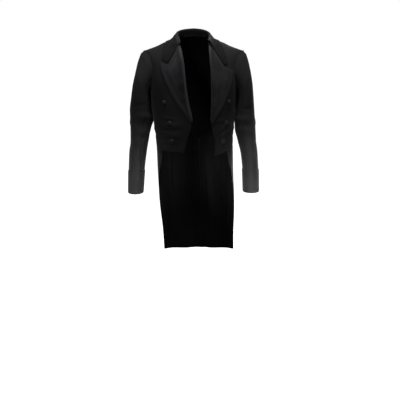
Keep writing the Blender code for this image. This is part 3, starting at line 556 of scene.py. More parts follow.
class Shader:
    """A material under construction: one Principled shader, its textures and its relief."""

    def __init__(self, name: str) -> None:
        """Starts the material.

        Args:
            name: The material's name.
        """
        self.material = bpy.data.materials.new(name)
        self.material.use_nodes = True
        self.tree = self.material.node_tree
        self.principled = self.tree.nodes["Principled BSDF"]

    def node(
        self, kind: str, settings: dict[str, object], inputs: dict[str | int, object], output: int | str = 0
    ) -> Term:
        """Adds a node.

        Args:
            kind: Type of the node.
            settings: The node's own settings.
            inputs: Value or link of each socket, by name or place.
            output: The socket to go on with.

        Returns:
            That socket as a term.
        """
        made = self.tree.nodes.new(kind)
        for setting, value in settings.items():
            setattr(made, setting, value)
        for key, value in inputs.items():
            self.feed(made.inputs[key], value)
        return Term(self, made.outputs[output])

    def feed(self, socket: bpy.types.NodeSocket, value: object) -> None:
        """Links a term to a socket, or sets the socket's own value."""
        if isinstance(value, Term):
            self.tree.links.new(value.socket, socket)
        else:
            socket.default_value = value

    def constants(self, **values: float) -> None:
        """Sets numbers on the shader's own sockets; an underscore stands for a space."""
        for name, value in values.items():
            self.principled.inputs[name.replace("_", " ")].default_value = value

    def surface(self, colour: Term, roughness: Term | float, relief: Term, depth: float) -> None:
        """Feeds the shader.

        Args:
            colour: Base colour.
            roughness: Roughness.
            relief: Height of the surface's relief, from 0 to 1.
            depth: Metres that one stands for.
        """
        self.feed(self.principled.inputs["Base Color"], colour)
        self.feed(self.principled.inputs["Roughness"], roughness)
        bump = self.node("ShaderNodeBump", {}, {"Strength": 1.0, "Distance": depth, "Height": relief})
        self.feed(self.principled.inputs["Normal"], bump)

    def across_and_along(self, layer: str) -> tuple[Term, Term]:
        """Metres across and along the piece, from one of its UV maps."""
        place = self.node("ShaderNodeUVMap", {"uv_map": layer}, {})
        parts = [self.node("ShaderNodeSeparateXYZ", {}, {0: place}, output) for output in (0, 1)]
        return parts[0], parts[1]

    def speckle(self, scale: float, detail: float = 2.0) -> Term:
        """Noise in the object's own space, from 0 to 1."""
        place = self.node("ShaderNodeTexCoord", {}, {}, "Object")
        return self.node("ShaderNodeTexNoise", {}, {"Vector": place, "Scale": scale, "Detail": detail})

    def colours(self, share: Term, low: Term | Colour, high: Term | Colour) -> Term:
        """Colour between two, each a term or three numbers, by a share."""
        low, high = (end if isinstance(end, Term) else (*end, 1) for end in (low, high))
        return self.node("ShaderNodeMix", {"data_type": "RGBA"}, {0: share, 6: low, 7: high}, 2)


@dataclass(frozen=True)
class Barathea:
    """Matt black worsted with a fine broken rib."""

    name: str = "barathea_cloth"
    low: Colour = (0.0040, 0.0040, 0.0044)
    high: Colour = (0.0110, 0.0110, 0.0116)
    thread: float = 0.00085
    roughness: float = 0.84

    def weave(self, shader: Shader) -> Term:
        """Relief of the broken rib, from 0 to 1."""
        across, along = shader.across_and_along("cloth")
        turn = 2 * math.pi / self.thread
        warp = (across * turn + (along * (turn * 0.5)).sine() * 0.9).sine()
        weft = (along * (turn * 0.8) + (across * (turn * 0.5)).sine() * 1.3).sine()
        return warp * weft * 0.25 + 0.5

    def colour(self, shader: Shader, weave: Term) -> Term:
        """Black with the weave and a broad, faint unevenness."""
        cloudy = shader.speckle(9.0, 3.0).band(0.3, 0.7)
        return shader.colours(weave * 0.45 + cloudy * 0.35 + shader.speckle(700.0) * 0.3, self.low, self.high)

    def make(self) -> bpy.types.Material:
        """The material."""
        shader = Shader(self.name)
        shader.constants(Metallic=0.0, Sheen_Weight=0.05, Sheen_Roughness=0.45, Specular_IOR_Level=0.16)
        weave = self.weave(shader)
        rough = shader.speckle(60.0) * 0.08 + self.roughness - 0.04
        relief = weave * 0.8 + shader.speckle(900.0) * 0.5
        shader.surface(self.colour(shader, weave), rough, relief, 0.00012)
        return shader.material


@dataclass(frozen=True)
class SatinFacing:
    """Silk satin facing that stops short of the lapel's edge, where the matt cloth frames it; its colour
    carries painted sheen and a painted highlight along the roll's fold.
    """

    name: str = "satin_and_edge"
    low: Colour = (0.0020, 0.0020, 0.0024)
    # high is also the bluish tone of the painted sheen and of the painted highlight along the fold.
    high: Colour = (0.0150, 0.0155, 0.0180)
    frame: Colour = (0.0210, 0.0210, 0.0215)
    border: float = 0.019
    line: float = 0.0014
    # Width and colour of a painted highlight along the roll's fold, where the rounded edge would catch the
    # light.
    strip: float = 0.0115
    pale: Colour = (0.022, 0.022, 0.023)

    def make(self) -> bpy.types.Material:
        """The material."""
        shader = Shader(self.name)
        shader.constants(Metallic=0.0, Sheen_Weight=0.04, Sheen_Roughness=0.5, Specular_IOR_Level=0.15)
        cloth = Barathea()
        weave = cloth.weave(shader)
        to_edge, to_top = shader.across_and_along("rim")
        inside = to_edge.at_most(to_top) + (shader.speckle(40.0) - 0.5) * 0.0012
        satin = inside.band(self.border - 0.0006, self.border + 0.0006)
        seam = 1 - (inside - self.border).size().band(0.0, self.line)
        across, along = shader.across_and_along("cloth")
        floats = (along * (2 * math.pi / 0.00045) + (across * 900.0).sine() * 0.6).sine() * 0.5 + 0.5
        # Painted sheen: soft lighter, bluish patches in the satin's colour stand in for its reflections; the
        # same noise also varies the roughness.
        sheen_streak = shader.speckle(22.0, 4.0).band(0.25, 0.75)
        silk_and_sheen = shader.colours(sheen_streak * 0.6 + floats * 0.4, self.low, self.high)
        matt = shader.colours(weave * 0.5 + seam * -0.4 + 0.4, self.low, self.frame)
        colour = shader.colours(satin, matt, silk_and_sheen)
        # Painted highlight: the colour turns lighter along the roll's fold, standing in for light caught by
        # its rounded edge.
        strip = near_fold(shader, self.strip)
        colour = shader.colours(strip, colour, shader.colours(weave, self.high, self.pale))
        roughness = satin * (-0.34) + 0.82 + sheen_streak * satin * 0.06
        relief = mix_terms(weave, floats * 0.35 + 0.4, satin) - seam * 1.6
        shader.surface(colour, roughness, relief, 0.00014)
        return shader.material


@dataclass(frozen=True)
class CollarCloth:
    """Deep black collar cloth with a short pile, and a painted highlight along the fold."""

    name: str = "collar_pile"
    low: Colour = (0.0030, 0.0030, 0.0034)
    high: Colour = (0.0075, 0.0075, 0.0080)
    # Width and colour of a painted highlight along the collar's fold.
    strip: float = 0.0125
    pale: Colour = (0.028, 0.028, 0.029)

    def make(self) -> bpy.types.Material:
        """The material."""
        shader = Shader(self.name)
        shader.constants(Metallic=0.0, Sheen_Weight=0.06, Sheen_Roughness=0.35, Specular_IOR_Level=0.14)
        brushed = shader.speckle(38.0, 3.0).band(0.3, 0.7)
        fibre = shader.speckle(1400.0, 1.0)
        colour = shader.colours(brushed * 0.6 + fibre * 0.5, self.low, self.high)
        # Painted highlight: the colour turns lighter along the collar's fold, standing in for light caught by
        # its rounded edge.
        strip = near_fold(shader, self.strip)
        colour = shader.colours(strip, colour, shader.colours(fibre, self.high, self.pale))
        shader.surface(colour, brushed * 0.06 + 0.88, fibre + brushed * 0.3, 0.00018)
        return shader.material


@dataclass(frozen=True)
class Lining:
    """Black lining: a smooth twill with a soft shine."""

    name: str = "lining_twill"
    low: Colour = (0.0012, 0.0012, 0.0014)
    high: Colour = (0.0040, 0.0040, 0.0044)
    thread: float = 0.00055

    def make(self) -> bpy.types.Material:
        """The material."""
        shader = Shader(self.name)
        shader.constants(Metallic=0.0, Sheen_Weight=0.01, Specular_IOR_Level=0.07)
        across, along = shader.across_and_along("cloth")
        twill = ((across + along) * (2 * math.pi / self.thread)).sine() * 0.5 + 0.5
        ripple = shader.speckle(28.0, 3.0)
        colour = shader.colours(twill * 0.5 + ripple * 0.5, self.low, self.high)
        shader.surface(colour, ripple * 0.12 + 0.52, twill * 0.5 + ripple * 3.0, 0.00016)
        return shader.material


@dataclass(frozen=True)
class ButtonCover:
    """Satin drawn tight over a button's dome."""

    name: str = "button_satin"
    low: Colour = (0.0050, 0.0050, 0.0054)
    high: Colour = (0.0130, 0.0130, 0.0136)
    thread: float = 0.0007

    def make(self) -> bpy.types.Material:
        """The material."""
        shader = Shader(self.name)
        shader.constants(Metallic=0.0, Sheen_Weight=0.05, Specular_IOR_Level=0.24)
        place = shader.node("ShaderNodeTexCoord", {}, {}, "Object")
        parts = [shader.node("ShaderNodeSeparateXYZ", {}, {0: place}, output) for output in (0, 2)]
        turn = 2 * math.pi / self.thread
        weave = (parts[0] * turn).sine() * (parts[1] * turn).sine() * 0.5 + 0.5
        colour = shader.colours(weave * 0.6 + shader.speckle(300.0) * 0.4, self.low, self.high)
        shader.surface(colour, shader.speckle(150.0) * 0.10 + 0.38, weave, 0.00010)
        return shader.material


@dataclass(frozen=True)
class StudioFloor:
    """Pale matt floor."""

    name: str = "studio_floor"
    glow: float = 1.0

    def make(self) -> bpy.types.Material:
        """The material."""
        shader = Shader(self.name)
        shader.constants(Emission_Strength=self.glow)
        shader.principled.inputs["Emission Color"].default_value = (1, 1, 1, 1)
        colour = shader.colours(shader.speckle(3.0, 4.0), (0.86, 0.86, 0.86), (0.90, 0.90, 0.90))
        shader.surface(colour, 0.7, shader.speckle(30.0), 0.0004)
        return shader.material


def mix_terms(low: Term, high: Term, share: Term) -> Term:
    """A share of the way from one term to another."""
    return low * (1 - share) + high * share


def near_fold(shader: Shader, reach: float) -> Term:
    """Mask of the painted highlight along a fold: 1 along the piece's fold and 0 beyond the reach, with a
    slightly wavering edge.
    """
    from_fold, _ = shader.across_and_along("fold")
    return 1 - (from_fold + (shader.speckle(30.0) - 0.5) * 0.002).band(reach - 0.002, reach + 0.001)


@dataclass
class Finishes:
    """The coat's materials, each made once."""

    cloth: bpy.types.Material = field(default_factory=lambda: Barathea().make())
    facing: bpy.types.Material = field(default_factory=lambda: SatinFacing().make())
    collar: bpy.types.Material = field(default_factory=lambda: CollarCloth().make())
    lining: bpy.types.Material = field(default_factory=lambda: Lining().make())
    button: bpy.types.Material = field(default_factory=lambda: ButtonCover().make())


@dataclass
class ClothSheet:
    """One cut piece of cloth: a grid placed by a rule, creased, and given its thickness.

    across and along run so that the grid's faces point outwards. fold is the place across at which the piece
    turns over. joined closes the grid to a band. The face dips by edge_dip along its edges, over edge_reach.
    """

    node: str
    slot: str
    across: np.ndarray
    along: np.ndarray
    place: Placing
    thickness: float
    face: bpy.types.Material
    back: bpy.types.Material
    held: str = "hung"
    rests_on: tuple[str, ...] = ()
    centred: bool = False
    joined: bool = False
    rim: Rim = Rim.NEAREST
    fold: float | None = None
    creases: tuple[Crease, ...] = ()
    plane: Plane = FRONT_PLANE
    edge_dip: float = 0.0005
    edge_reach: float = 0.0045

    def build(self) -> bpy.types.Object:
        """Returns:
            The piece.
        """
        a, b = np.meshgrid(self.across, self.along)
        points = self.place(a.ravel(), b.ravel()).reshape(*a.shape, 3)
        across_run, along_run = self._run(points, 1), self._run(points, 0)
        width, length = float(across_run.max()), float(along_run.max())
        area = self._area(points)
        far_across = across_run[:, -1:] - across_run
        far_along = along_run[-1:] - along_run
        nearest = (np.minimum(across_run, far_across), np.minimum(along_run, far_along))
        if self.joined:
            nearest = (np.full_like(across_run, 1.0), nearest[1])
        normal = self._normals(points)
        height = -self.edge_dip * np.exp(-((np.minimum(*nearest) / self.edge_reach) ** 2))
        flat_a, flat_b = self.plane.rule(points, a)
        for crease in self.creases:
            height = height + crease.relief(flat_a, flat_b, (self.plane.unit, 1.0))
        points = points + normal * height[..., None]
        rims = {Rim.NEAREST: nearest, Rim.FIRST: (across_run, far_along), Rim.LAST: (far_across, far_along)}
        maps = {"cloth": (across_run, along_run), "rim": rims[self.rim]}
        if self.fold is not None:
            column = int(np.argmin(np.abs(self.across - self.fold)))
            maps["fold"] = (np.abs(across_run - across_run[:, column : column + 1]), along_run)
        piece = self._mesh(points, maps)
        self._dress(piece)
        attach(piece, "root")
        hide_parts(self.node)
        list(self.rests_on)
        log.info("%s: %.0f x %.0f mm, %.4f m2", piece.name, width * 1000, length * 1000, area)
        return piece

    @staticmethod
    def _run(points: np.ndarray, axis: int) -> np.ndarray:
        """Metres along the grid's rows or columns, from their start."""
        steps = np.linalg.norm(np.diff(points, axis=axis), axis=-1)
        start = np.zeros_like(np.take(steps, [0], axis=axis))
        return np.concatenate([start, np.cumsum(steps, axis=axis)], axis=axis)

    @staticmethod
    def _area(points: np.ndarray) -> float:
        """Area of the grid."""
        one, two = points[1:, 1:] - points[:-1, :-1], points[1:, :-1] - points[:-1, 1:]
        return float(np.linalg.norm(np.cross(one, two), axis=-1).sum() / 2)

    def _normals(self, points: np.ndarray) -> np.ndarray:
        """Directions out of the grid at its points."""
        normal = normalized(np.cross(np.gradient(points, axis=1), np.gradient(points, axis=0)))
        if self.joined:
            normal[:, 0] = normal[:, -1] = normalized(normal[:, 0] + normal[:, -1])
        return normal

    def _mesh(self, points: np.ndarray, maps: dict[str, tuple[np.ndarray, np.ndarray]]) -> bpy.types.Object:
        """Grid of faces through the points, with its UV maps."""
        rows, columns = points.shape[:2]
        name = self.node + "_cloth"
        mesh = bpy.data.meshes.new(name)
        bm = bmesh.new()
        bmesh.ops.create_grid(bm, x_segments=columns - 1, y_segments=rows - 1, size=0.5)
        corners = np.array([vert.co for vert in bm.verts])
        column = np.rint((corners[:, 0] + 0.5) * (columns - 1)).astype(int)
        row = np.rint((corners[:, 1] + 0.5) * (rows - 1)).astype(int)
        for vert, point in zip(bm.verts, points[row, column]):
            vert.co = point
        bm.to_mesh(mesh)
        loops = np.empty(len(mesh.loops), int)
        mesh.loops.foreach_get("vertex_index", loops)
        for layer, (first, second) in maps.items():
            places = np.stack([first[row, column][loops], second[row, column][loops]], axis=-1)
            mesh.uv_layers.new(name=layer).uv.foreach_set("vector", places.astype(np.float32).ravel())
        bm.free()
        if self.joined:
            bm = bmesh.new()
            bm.from_mesh(mesh)
            bmesh.ops.remove_doubles(bm, verts=bm.verts, dist=2e-5)
            bm.to_mesh(mesh)
            bm.free()
        piece = bpy.data.objects.new(name, mesh)
        bpy.context.scene.collection.objects.link(piece)
        return piece

    def _dress(self, piece: bpy.types.Object) -> None:
        """Gives the cloth its wall, its rounded edges and its materials."""
        piece.data.materials.append(self.face)
        piece.data.materials.append(self.back)
        piece.data.shade_smooth()
        wall = piece.modifiers.new("wall", "SOLIDIFY")
        wall.thickness = self.thickness
        wall.offset = 0.0 if self.centred else -1.0
        wall.use_even_offset = False
        wall.use_quality_normals = True
        wall.material_offset = 1
        soft = piece.modifiers.new("edge", "BEVEL")
        soft.width = self.thickness * 0.3
        soft.segments = 2
        soft.limit_method = "ANGLE"
        soft.angle_limit = math.radians(60)


@dataclass
class SewnPiece:
    """What every sewn piece shares: the form, its side, the finishes and the spacing of its grid."""

    form: CoatForm
    side: Side
    finishes: Finishes
    cloth: float = 0.0020
    cell: float = 0.0045
    creases: Creases = field(default_factory=dict)

    def named(self, *kinds: str) -> tuple[str, ...]:
        """Names of pieces on this side."""
        return tuple(f"{kind}_{self.side.label}" for kind in kinds)

    def facing(self, across: np.ndarray) -> np.ndarray:
        """The grid's columns in the order that points its faces outwards on this side."""
        return across if self.side is Side.LEFT else across[::-1]

    def sew(
        self, kind: str, across: np.ndarray, along: np.ndarray, place: Placing, **settings: object
    ) -> bpy.types.Object:
        """Makes the piece: a lined sheet of barathea, unless its settings say otherwise.

        Args:
            kind: The piece's name without its side.
            across: Grid lines across.
            along: Grid lines along.
            place: Rule that places them.
            **settings: Other settings of the sheet.

        Returns:
            The piece.
        """
        plain = {
            "slot": "barathea",
            "thickness": self.cloth,
            "face": self.finishes.cloth,
            "back": self.finishes.lining,
            "creases": self.creases[self.side],
        }
        settings = {**plain, **settings, "across": self.facing(across), "along": along, "place": place}
        return ClothSheet(self.named(kind)[0], **settings).build()

    def shares(self, length: float, start: float = 0.0, end: float = 1.0) -> np.ndarray:
        """Even grid lines between two values, one cell of cloth apart over that length."""
        return np.linspace(start, end, max(int(round(length / self.cell)), 2) + 1)


@dataclass
class Forepart(SewnPiece):
    """Forepart: from the cut-away edge, roll line and neck to the side seam and the armhole."""

    edges: dict[Side, tuple[Edge, ...]] = field(default_factory=lambda: FRONT_EDGE)
    point_z: dict[Side, float] = field(default_factory=lambda: {Side.RIGHT: -0.497, Side.LEFT: -0.512})
    creases: Creases = field(default_factory=lambda: FRONT_CREASES)

    def place(self, u: np.ndarray, v: np.ndarray) -> np.ndarray:
        """Points at u from the edge to the seam, and v up from the hem: 1 is the underarm, 2 the shoulder."""
        form, side = self.form, self.side.value
        edge = Curve(self.edges[self.side], "level", "x")
        below = v < 1
        turn = form.front_corner_turn * (2 - np.clip(v, 1, 2))
        ends = (form.front_hem_end_z - form.underarm_z, self.point_z[self.side] - form.underarm_z)
        above = form.armhole_level(turn)
        outer_level, inner_level = (np.where(below, mix(end, 0.0, v), above) for end in ends)
        side_seam = mix(form.front_hem_end_angle, form.armhole_angle(form.front_corner_turn), v)
        outer = np.where(below, side_seam, form.armhole_angle(turn)) - form.gap_angle
        inner = form.angle_at(edge(inner_level), inner_level, side)
        level = mix(inner_level, outer_level, u)
        point = form.point(mix(inner, outer, u), level, side)
        point[:, 1] -= np.where(v >= 2, form.seam_gap / 2, 0)
        return point

    def build(self) -> bpy.types.Object:
        """Makes the forepart."""
        along = np.concatenate([self.shares(0.28)[:-1], self.shares(0.36, 1.0, 2.0)])
        rests_on = self.named("back", "side_body")
        return self.sew("front", self.shares(0.23), along, self.place, rests_on=rests_on)


@dataclass
class SideBody(SewnPiece):
    """Side body: under the arm, between the forepart and the back, down to the waist seam."""

    creases: Creases = field(default_factory=lambda: SIDE_CREASES)

    def place(self, u: np.ndarray, v: np.ndarray) -> np.ndarray:
        """Points at u from the side seam to the back seam, and v up from the waist to the armhole."""
        form = self.form
        turn = mix(form.front_corner_turn, form.back_corner_turn, u)
        level = mix(form.waist_z(u) - form.underarm_z, form.armhole_level(turn), v)
        front_seam = mix(form.front_hem_end_angle, form.armhole_angle(form.front_corner_turn), v)
        top = form.armhole_level(form.back_corner_turn)
        back_seam = form.back_seam_angle(mix(form.waist_back_z - form.underarm_z, top, v))
        straight = mix(front_seam, back_seam, u)
        top_straight = mix(form.armhole_angle(form.front_corner_turn), form.back_seam_angle(top), u)
        top_bend = form.armhole_angle(turn) - top_straight
        angle = straight + top_bend * v**4 + form.gap_angle * (1 - 2 * u)
        return form.point(angle, level + form.seam_gap / 2 * (1 - v), self.side.value)

    def build(self) -> bpy.types.Object:
        """Makes the side body."""
        return self.sew(
            "side_body",
            self.shares(0.22),
            self.shares(0.28),
            self.place,
            rests_on=self.named("front", "back"),
            plane=Plane(self.form.round_plane, BODY_DEGREE),
        )


@dataclass
class TailPanel(SewnPiece):
    """Tail: hangs from the waist seam, from its free front edge to the pleat at the back."""

    corner_rise: float = 0.014
    creases: Creases = field(default_factory=lambda: TAIL_CREASES)

    def place(self, u: np.ndarray, v: np.ndarray) -> np.ndarray:
        """Points at u from the free edge to the pleat, and v up from the hem to the waist."""
        form = self.form
        bottom = form.tail_hem_z + self.corner_rise * (1 - u) ** 2
        z = mix(bottom, form.waist_z(u) - form.seam_gap / 2, v)
        angle = mix(form.tail_front_angle(z), form.pleat_angle(z) + form.pleat_gap, u)
        top_angle = mix(form.front_hem_end_angle, form.waist_back_angle, u)
        angle = mix(angle, top_angle, np.clip(v, 0, 1) ** 6)
        return form.hung(angle, z - form.underarm_z, self.side.value)

    def build(self) -> bpy.types.Object:
        """Makes the tail."""
        return self.sew(
            "tail",
            self.shares(0.26),
            self.shares(0.56),
            self.place,
            rests_on=self.named("side_body"),
            plane=Plane(self.form.round_plane, BODY_DEGREE),
        )


@dataclass
class BackPanel(SewnPiece):
    """Back: from the nape to the hem in one length, with the vent below the waist."""

    neck_share: float = 0.375
    underlap: float = 0.022
    step_in: float = 0.0048
    ramp: float = 0.019
    lap_share: float = 0.125
    step_rise: float = 0.03
    creases: Creases = field(default_factory=lambda: BACK_CREASES)

    def place(self, u: np.ndarray, v: np.ndarray) -> np.ndarray:
        """Points at u out from the centre seam, and v up: 1 is the waist, 2 the armhole, 3 the shoulder."""
        form, side = self.form, self.side.value
        waist = form.waist_back_z - form.underarm_z
        corner = float(form.armhole_level(form.back_corner_turn))
        turn = mix(form.back_corner_turn, 360, np.clip(v - 2, 0, 1))
        lower = [v < 1, v < 2]
        rising = mix(waist, corner, v - 1)
        hanging = mix(form.tail_hem_z, form.waist_back_z, v)
        seams = [form.pleat_angle(hanging) - form.pleat_gap, form.back_seam_angle(rising)]
        out_angle = np.select(lower, seams, form.armhole_angle(turn)) + form.gap_angle
        level = np.select(lower, [hanging - form.underarm_z, rising], form.armhole_level(turn))
        angle = mix(180.0, out_angle, u)
        outer_out = np.abs(form.point(out_angle, level, 1)[:, 0] - form.middle_x)
        beyond_neck = mix(form.neck_half_width, outer_out, (u - self.neck_share) / (1 - self.neck_share))
        top_out = np.where(u < self.neck_share, u / self.neck_share * form.neck_half_width, beyond_neck)
        neck = form.neck_level(np.minimum(top_out, form.neck_half_width))
        top_level = np.where(u < self.neck_share, neck, form.arch_length)
        reached = mix(corner, top_level, (level - corner) / (form.arch_length - corner))
        level = np.where(v > 2, mix(level, reached, np.clip(1.3 * (1 - u), 0, 1)), level)
        level = np.where(v >= 3, top_level, level)
        top_angle = form.angle_at(form.middle_x + side * top_out, level, side, behind=True)
        angle = mix(angle, top_angle, np.clip(v - 2, 0, 1) ** 2)
        point = form.hung(angle, level, side)
        point[:, 1] += np.where(v >= 3, form.seam_gap / 2, 0)
        point[:, 0] += side * form.seam_gap / 2 * (u <= 0)
        return self.lapped(point, u, level) if self.side is Side.RIGHT else point

    def lapped(self, point: np.ndarray, u: np.ndarray, level: np.ndarray) -> np.ndarray:
        """The right back's centre edge, which goes under the left one below the waist."""
        form, side = self.form, self.side.value
        beyond = form.centre(point[:, 2]) - side * self.underlap
        under = form.hung(form.angle_at(beyond, level, -side, behind=True), level, -side)
        drop = form.waist_back_z - point[:, 2]
        vent = np.clip(drop / self.ramp, 0, 1) * np.clip(1 - u / self.lap_share, 0, 1)
        point = mix(point, under, vent[:, None])
        top = form.waist_back_z + self.step_rise
        deep = np.clip((top - point[:, 2]) / self.step_rise, 0, 1) * np.clip(1 - u * 2, 0, 1) ** 1.6
        point[:, 1] -= self.step_in * deep
        return point

    def build(self) -> bpy.types.Object:
        """Makes the back."""
        parts = (self.shares(0.573)[:-1], self.shares(0.32, 1.0, 2.0)[:-1], self.shares(0.25, 2.0, 3.0))
        rests_on = (*self.named("front"), "collar")
        return self.sew("back", self.shares(0.20)[::-1], np.concatenate(parts), self.place, rests_on=rests_on)


@dataclass
class Lapel(SewnPiece):
    """Lapel: the facing turns round the roll line and lies on the forepart, with its peak outwards."""

    cloth: float = 0.0016
    lie: float = 0.0032
    bulge: float = 0.0040
    bulge_reach: float = 0.024
    full_width: float = 0.030
    settling: float = 12.0
    bottom_level: dict[Side, float] = field(default_factory=lambda: {Side.RIGHT: -0.138, Side.LEFT: -0.142})
    roll: tuple[Roll, ...] = (
        Roll(0, 0.0120, -0.0040),
        Roll(1, 0.0015, -0.0040),
        Roll(2, -0.0029, -0.0024),
        Roll(3, -0.0041, 0.0008),
        Roll(4, -0.0026, 0.0040),
        Roll(5, 0.0025, 0.0056),
    )
    edges: dict[Side, tuple[Edge, ...]] = field(default_factory=lambda: FRONT_EDGE)
    outlines: dict[Side, tuple[Outline, ...]] = field(default_factory=lambda: LAPEL_EDGE)
    gorges: dict[Side, tuple[Outline, ...]] = field(default_factory=lambda: GORGE)
    creases: Creases = field(default_factory=lambda: LAPEL_CREASES)

    def seen_at(self, share: np.ndarray, along: np.ndarray) -> tuple[np.ndarray, np.ndarray]:
        """Point seen from the front, at a share of the way from the roll line to the outer edge."""
        form, outline = self.form, self.outlines[self.side]
        top, notch, tip = self.gorges[self.side]
        top_level = float(form.level_at(np.array(top.x), np.array(top.z)))
        level = mix(self.bottom_level[self.side], top_level, along)
        roll_x = Curve(self.edges[self.side], "level", "x")(level)
        arch = np.sin(np.maximum(level, 0) / form.arch_length * math.pi / 2)
        height = form.shoulder_height(np.abs(roll_x - form.middle_x)) - form.underarm_z
        roll_z = form.underarm_z + np.where(level > 0, height * arch, level)
        dip = along**3 * np.interp(np.clip(share, 0, 1), (0, notch.share, 1), (0, 1, 0))
        x = mix(roll_x, Curve(outline, "share", "x")(along), share)
        z = mix(roll_z, Curve(outline, "share", "z")(along), share)
        x = x + dip * (notch.x - mix(top.x, tip.x, notch.share))
        return x, z + dip * (notch.z - mix(top.z, tip.z, notch.share))

    def place(self, u: np.ndarray, v: np.ndarray) -> np.ndarray:
        """Points at u, which counts the roll's rows and then the leaf's share, and v up from the button."""
        start = np.stack(self.seen_at(np.zeros_like(v), v), axis=-1)
        end = np.stack(self.seen_at(np.ones_like(v), v), axis=-1)
        width = np.linalg.norm(end - start, axis=-1)
        size = np.clip(width / self.full_width, 0.25, 1)
        last = self.roll[-1]
        roll_out = Curve(self.roll, "index", "out")(u)
        roll_out = np.where(roll_out > 0, roll_out * size, roll_out)
        share = np.clip(u - last.index, 0, 1)
        leaf_out = mix(last.out * size, width, share)
        lying = self.lie + self.bulge * np.exp(-((leaf_out / self.bulge_reach) ** 2)) * size
        settled = mix(last.height, lying, ease(share * self.settling))
        height = np.where(u > last.index, settled, Curve(self.roll, "index", "height")(u))
        out = np.where(u > last.index, leaf_out, roll_out)
        low_x, low_z = self.seen_at(np.clip(out / width, -1, 1), v)
        return lifted(lambda a, b: self.form.front_at(a, b, self.side.value), low_x, low_z, height)

    def build(self) -> bpy.types.Object:
        """Makes the lapel."""
        notch = self.gorges[self.side][1].share
        last = self.roll[-1].index
        leaf = np.concatenate([self.shares(0.09, 0.0, notch)[1:], self.shares(0.03, notch, 1.0)[1:]])
        across = np.concatenate([np.linspace(0, last, 21), last + leaf])
        return self.sew(
            "lapel",
            across,
            self.shares(0.36),
            self.place,
            slot="satin_facing",
            face=self.finishes.facing,
            back=self.finishes.cloth,
            held="folded",
            rests_on=self.named("front"),
            centred=True,
            rim=Rim.LAST if self.side is Side.LEFT else Rim.FIRST,
            fold=3.0,
            edge_dip=TURNED_EDGE_DIP,
        )


@dataclass
class SleeveForm:
    """The sleeve's outer face on one side."""

    form: CoatForm
    side: Side
    start: float = -0.0012

    def __post_init__(self) -> None:
        """Draws the curves through the rings."""
        self.curves = {column: Curve(SLEEVE_RINGS[self.side], "step", column) for column in Ring._fields[1:]}

    def loop(self, turn: np.ndarray) -> np.ndarray:
        """The armhole seam, a little out from the body."""
        form, side = self.form, self.side.value
        point = form.point(form.armhole_angle(turn % 360), form.armhole_level(turn % 360), side)
        point[:, 0] += side * self.start
        return point

    def place(self, turn: np.ndarray, step: np.ndarray) -> np.ndarray:
        """Points at a turn round the arm and a step down it, from 0 at the armhole seam to the hem."""
        turn, step = np.broadcast_arrays(np.asarray(turn, float), np.asarray(step, float))
        at = np.maximum(step, 1)
        ring = {column: curve(at) for column, curve in self.curves.items()}
        share = (1 + np.cos(np.radians(turn))) / 2
        inner = np.stack([ring["inner_x"], ring["centre_y"], ring["inner_z"]], axis=-1)
        outer = np.stack([ring["outer_x"], ring["centre_y"], ring["outer_z"]], axis=-1)
        oval = mix(inner, outer, share[:, None])
        oval[:, 1] -= ring["half_depth"] * np.sin(np.radians(turn))
        start = self.loop(turn)
        top, bottom = self.loop(np.zeros_like(turn)), self.loop(np.full_like(turn, 180.0))
        bent = start + mix(inner - bottom, outer - top, share[:, None])
        ring_point = mix(bent, oval, ring["round_share"][:, None])
        return mix(start, ring_point, np.clip(step, 0, 1)[:, None])


@dataclass
class Sleeve(SewnPiece):
    """Top sleeve and under sleeve, which meet at the forearm and hindarm seams."""

    cloth: float = 0.0018
    forearm_turn: float = 115.0
    hindarm_turn: float = 245.0
    seam_turn: float = 0.5
    creases: Creases = field(default_factory=lambda: SLEEVE_CREASES)

    def build(self) -> list[bpy.types.Object]:
        """Makes both pieces of the sleeve."""
        surface = SleeveForm(self.form, self.side)
        halves = {
            "top_sleeve": (self.hindarm_turn - 360, self.forearm_turn, 0.30),
            "under_sleeve": (self.forearm_turn, self.hindarm_turn, 0.16),
        }
        steps = np.concatenate([self.shares(0.06)[:-1], self.shares(0.62, 1.0, HEM_STEP)])
        made = []
        for kind, (start, end, width) in halves.items():
            turns = self.shares(width, start + self.seam_turn, end - self.seam_turn)
            rests_on = self.named("front", "back")
            made.append(self.sew(kind, turns, steps, surface.place, rests_on=rests_on, plane=ARM_PLANE))
        return made


@dataclass
class Cuff(SewnPiece):
    """Turned-back cuff, a band round the end of the sleeve."""

    cloth: float = 0.0018
    height: float = 0.102
    lift: float = 0.0027
    seam_turn: float = 245.0
    creases: Creases = field(default_factory=lambda: SLEEVE_CREASES)

    def build(self) -> bpy.types.Object:
        """Makes the cuff."""
        surface = SleeveForm(self.form, self.side)
        rings = SLEEVE_RINGS[self.side]
        top_step = HEM_STEP - self.height / (rings[-2].outer_z - rings[-1].outer_z)

        def place(turn: np.ndarray, step: np.ndarray) -> np.ndarray:
            """Points of the band."""
            return lifted(surface.place, turn, step, np.full(len(turn), self.lift * self.side.value))

        return self.sew(
            "cuff",
            self.shares(0.40, self.seam_turn - 360, self.seam_turn),
            self.shares(self.height, top_step, HEM_STEP),
            place,
            back=self.finishes.cloth,
            held="folded",
            rests_on=self.named("top_sleeve", "under_sleeve"),
            joined=True,
            plane=ARM_PLANE,
        )


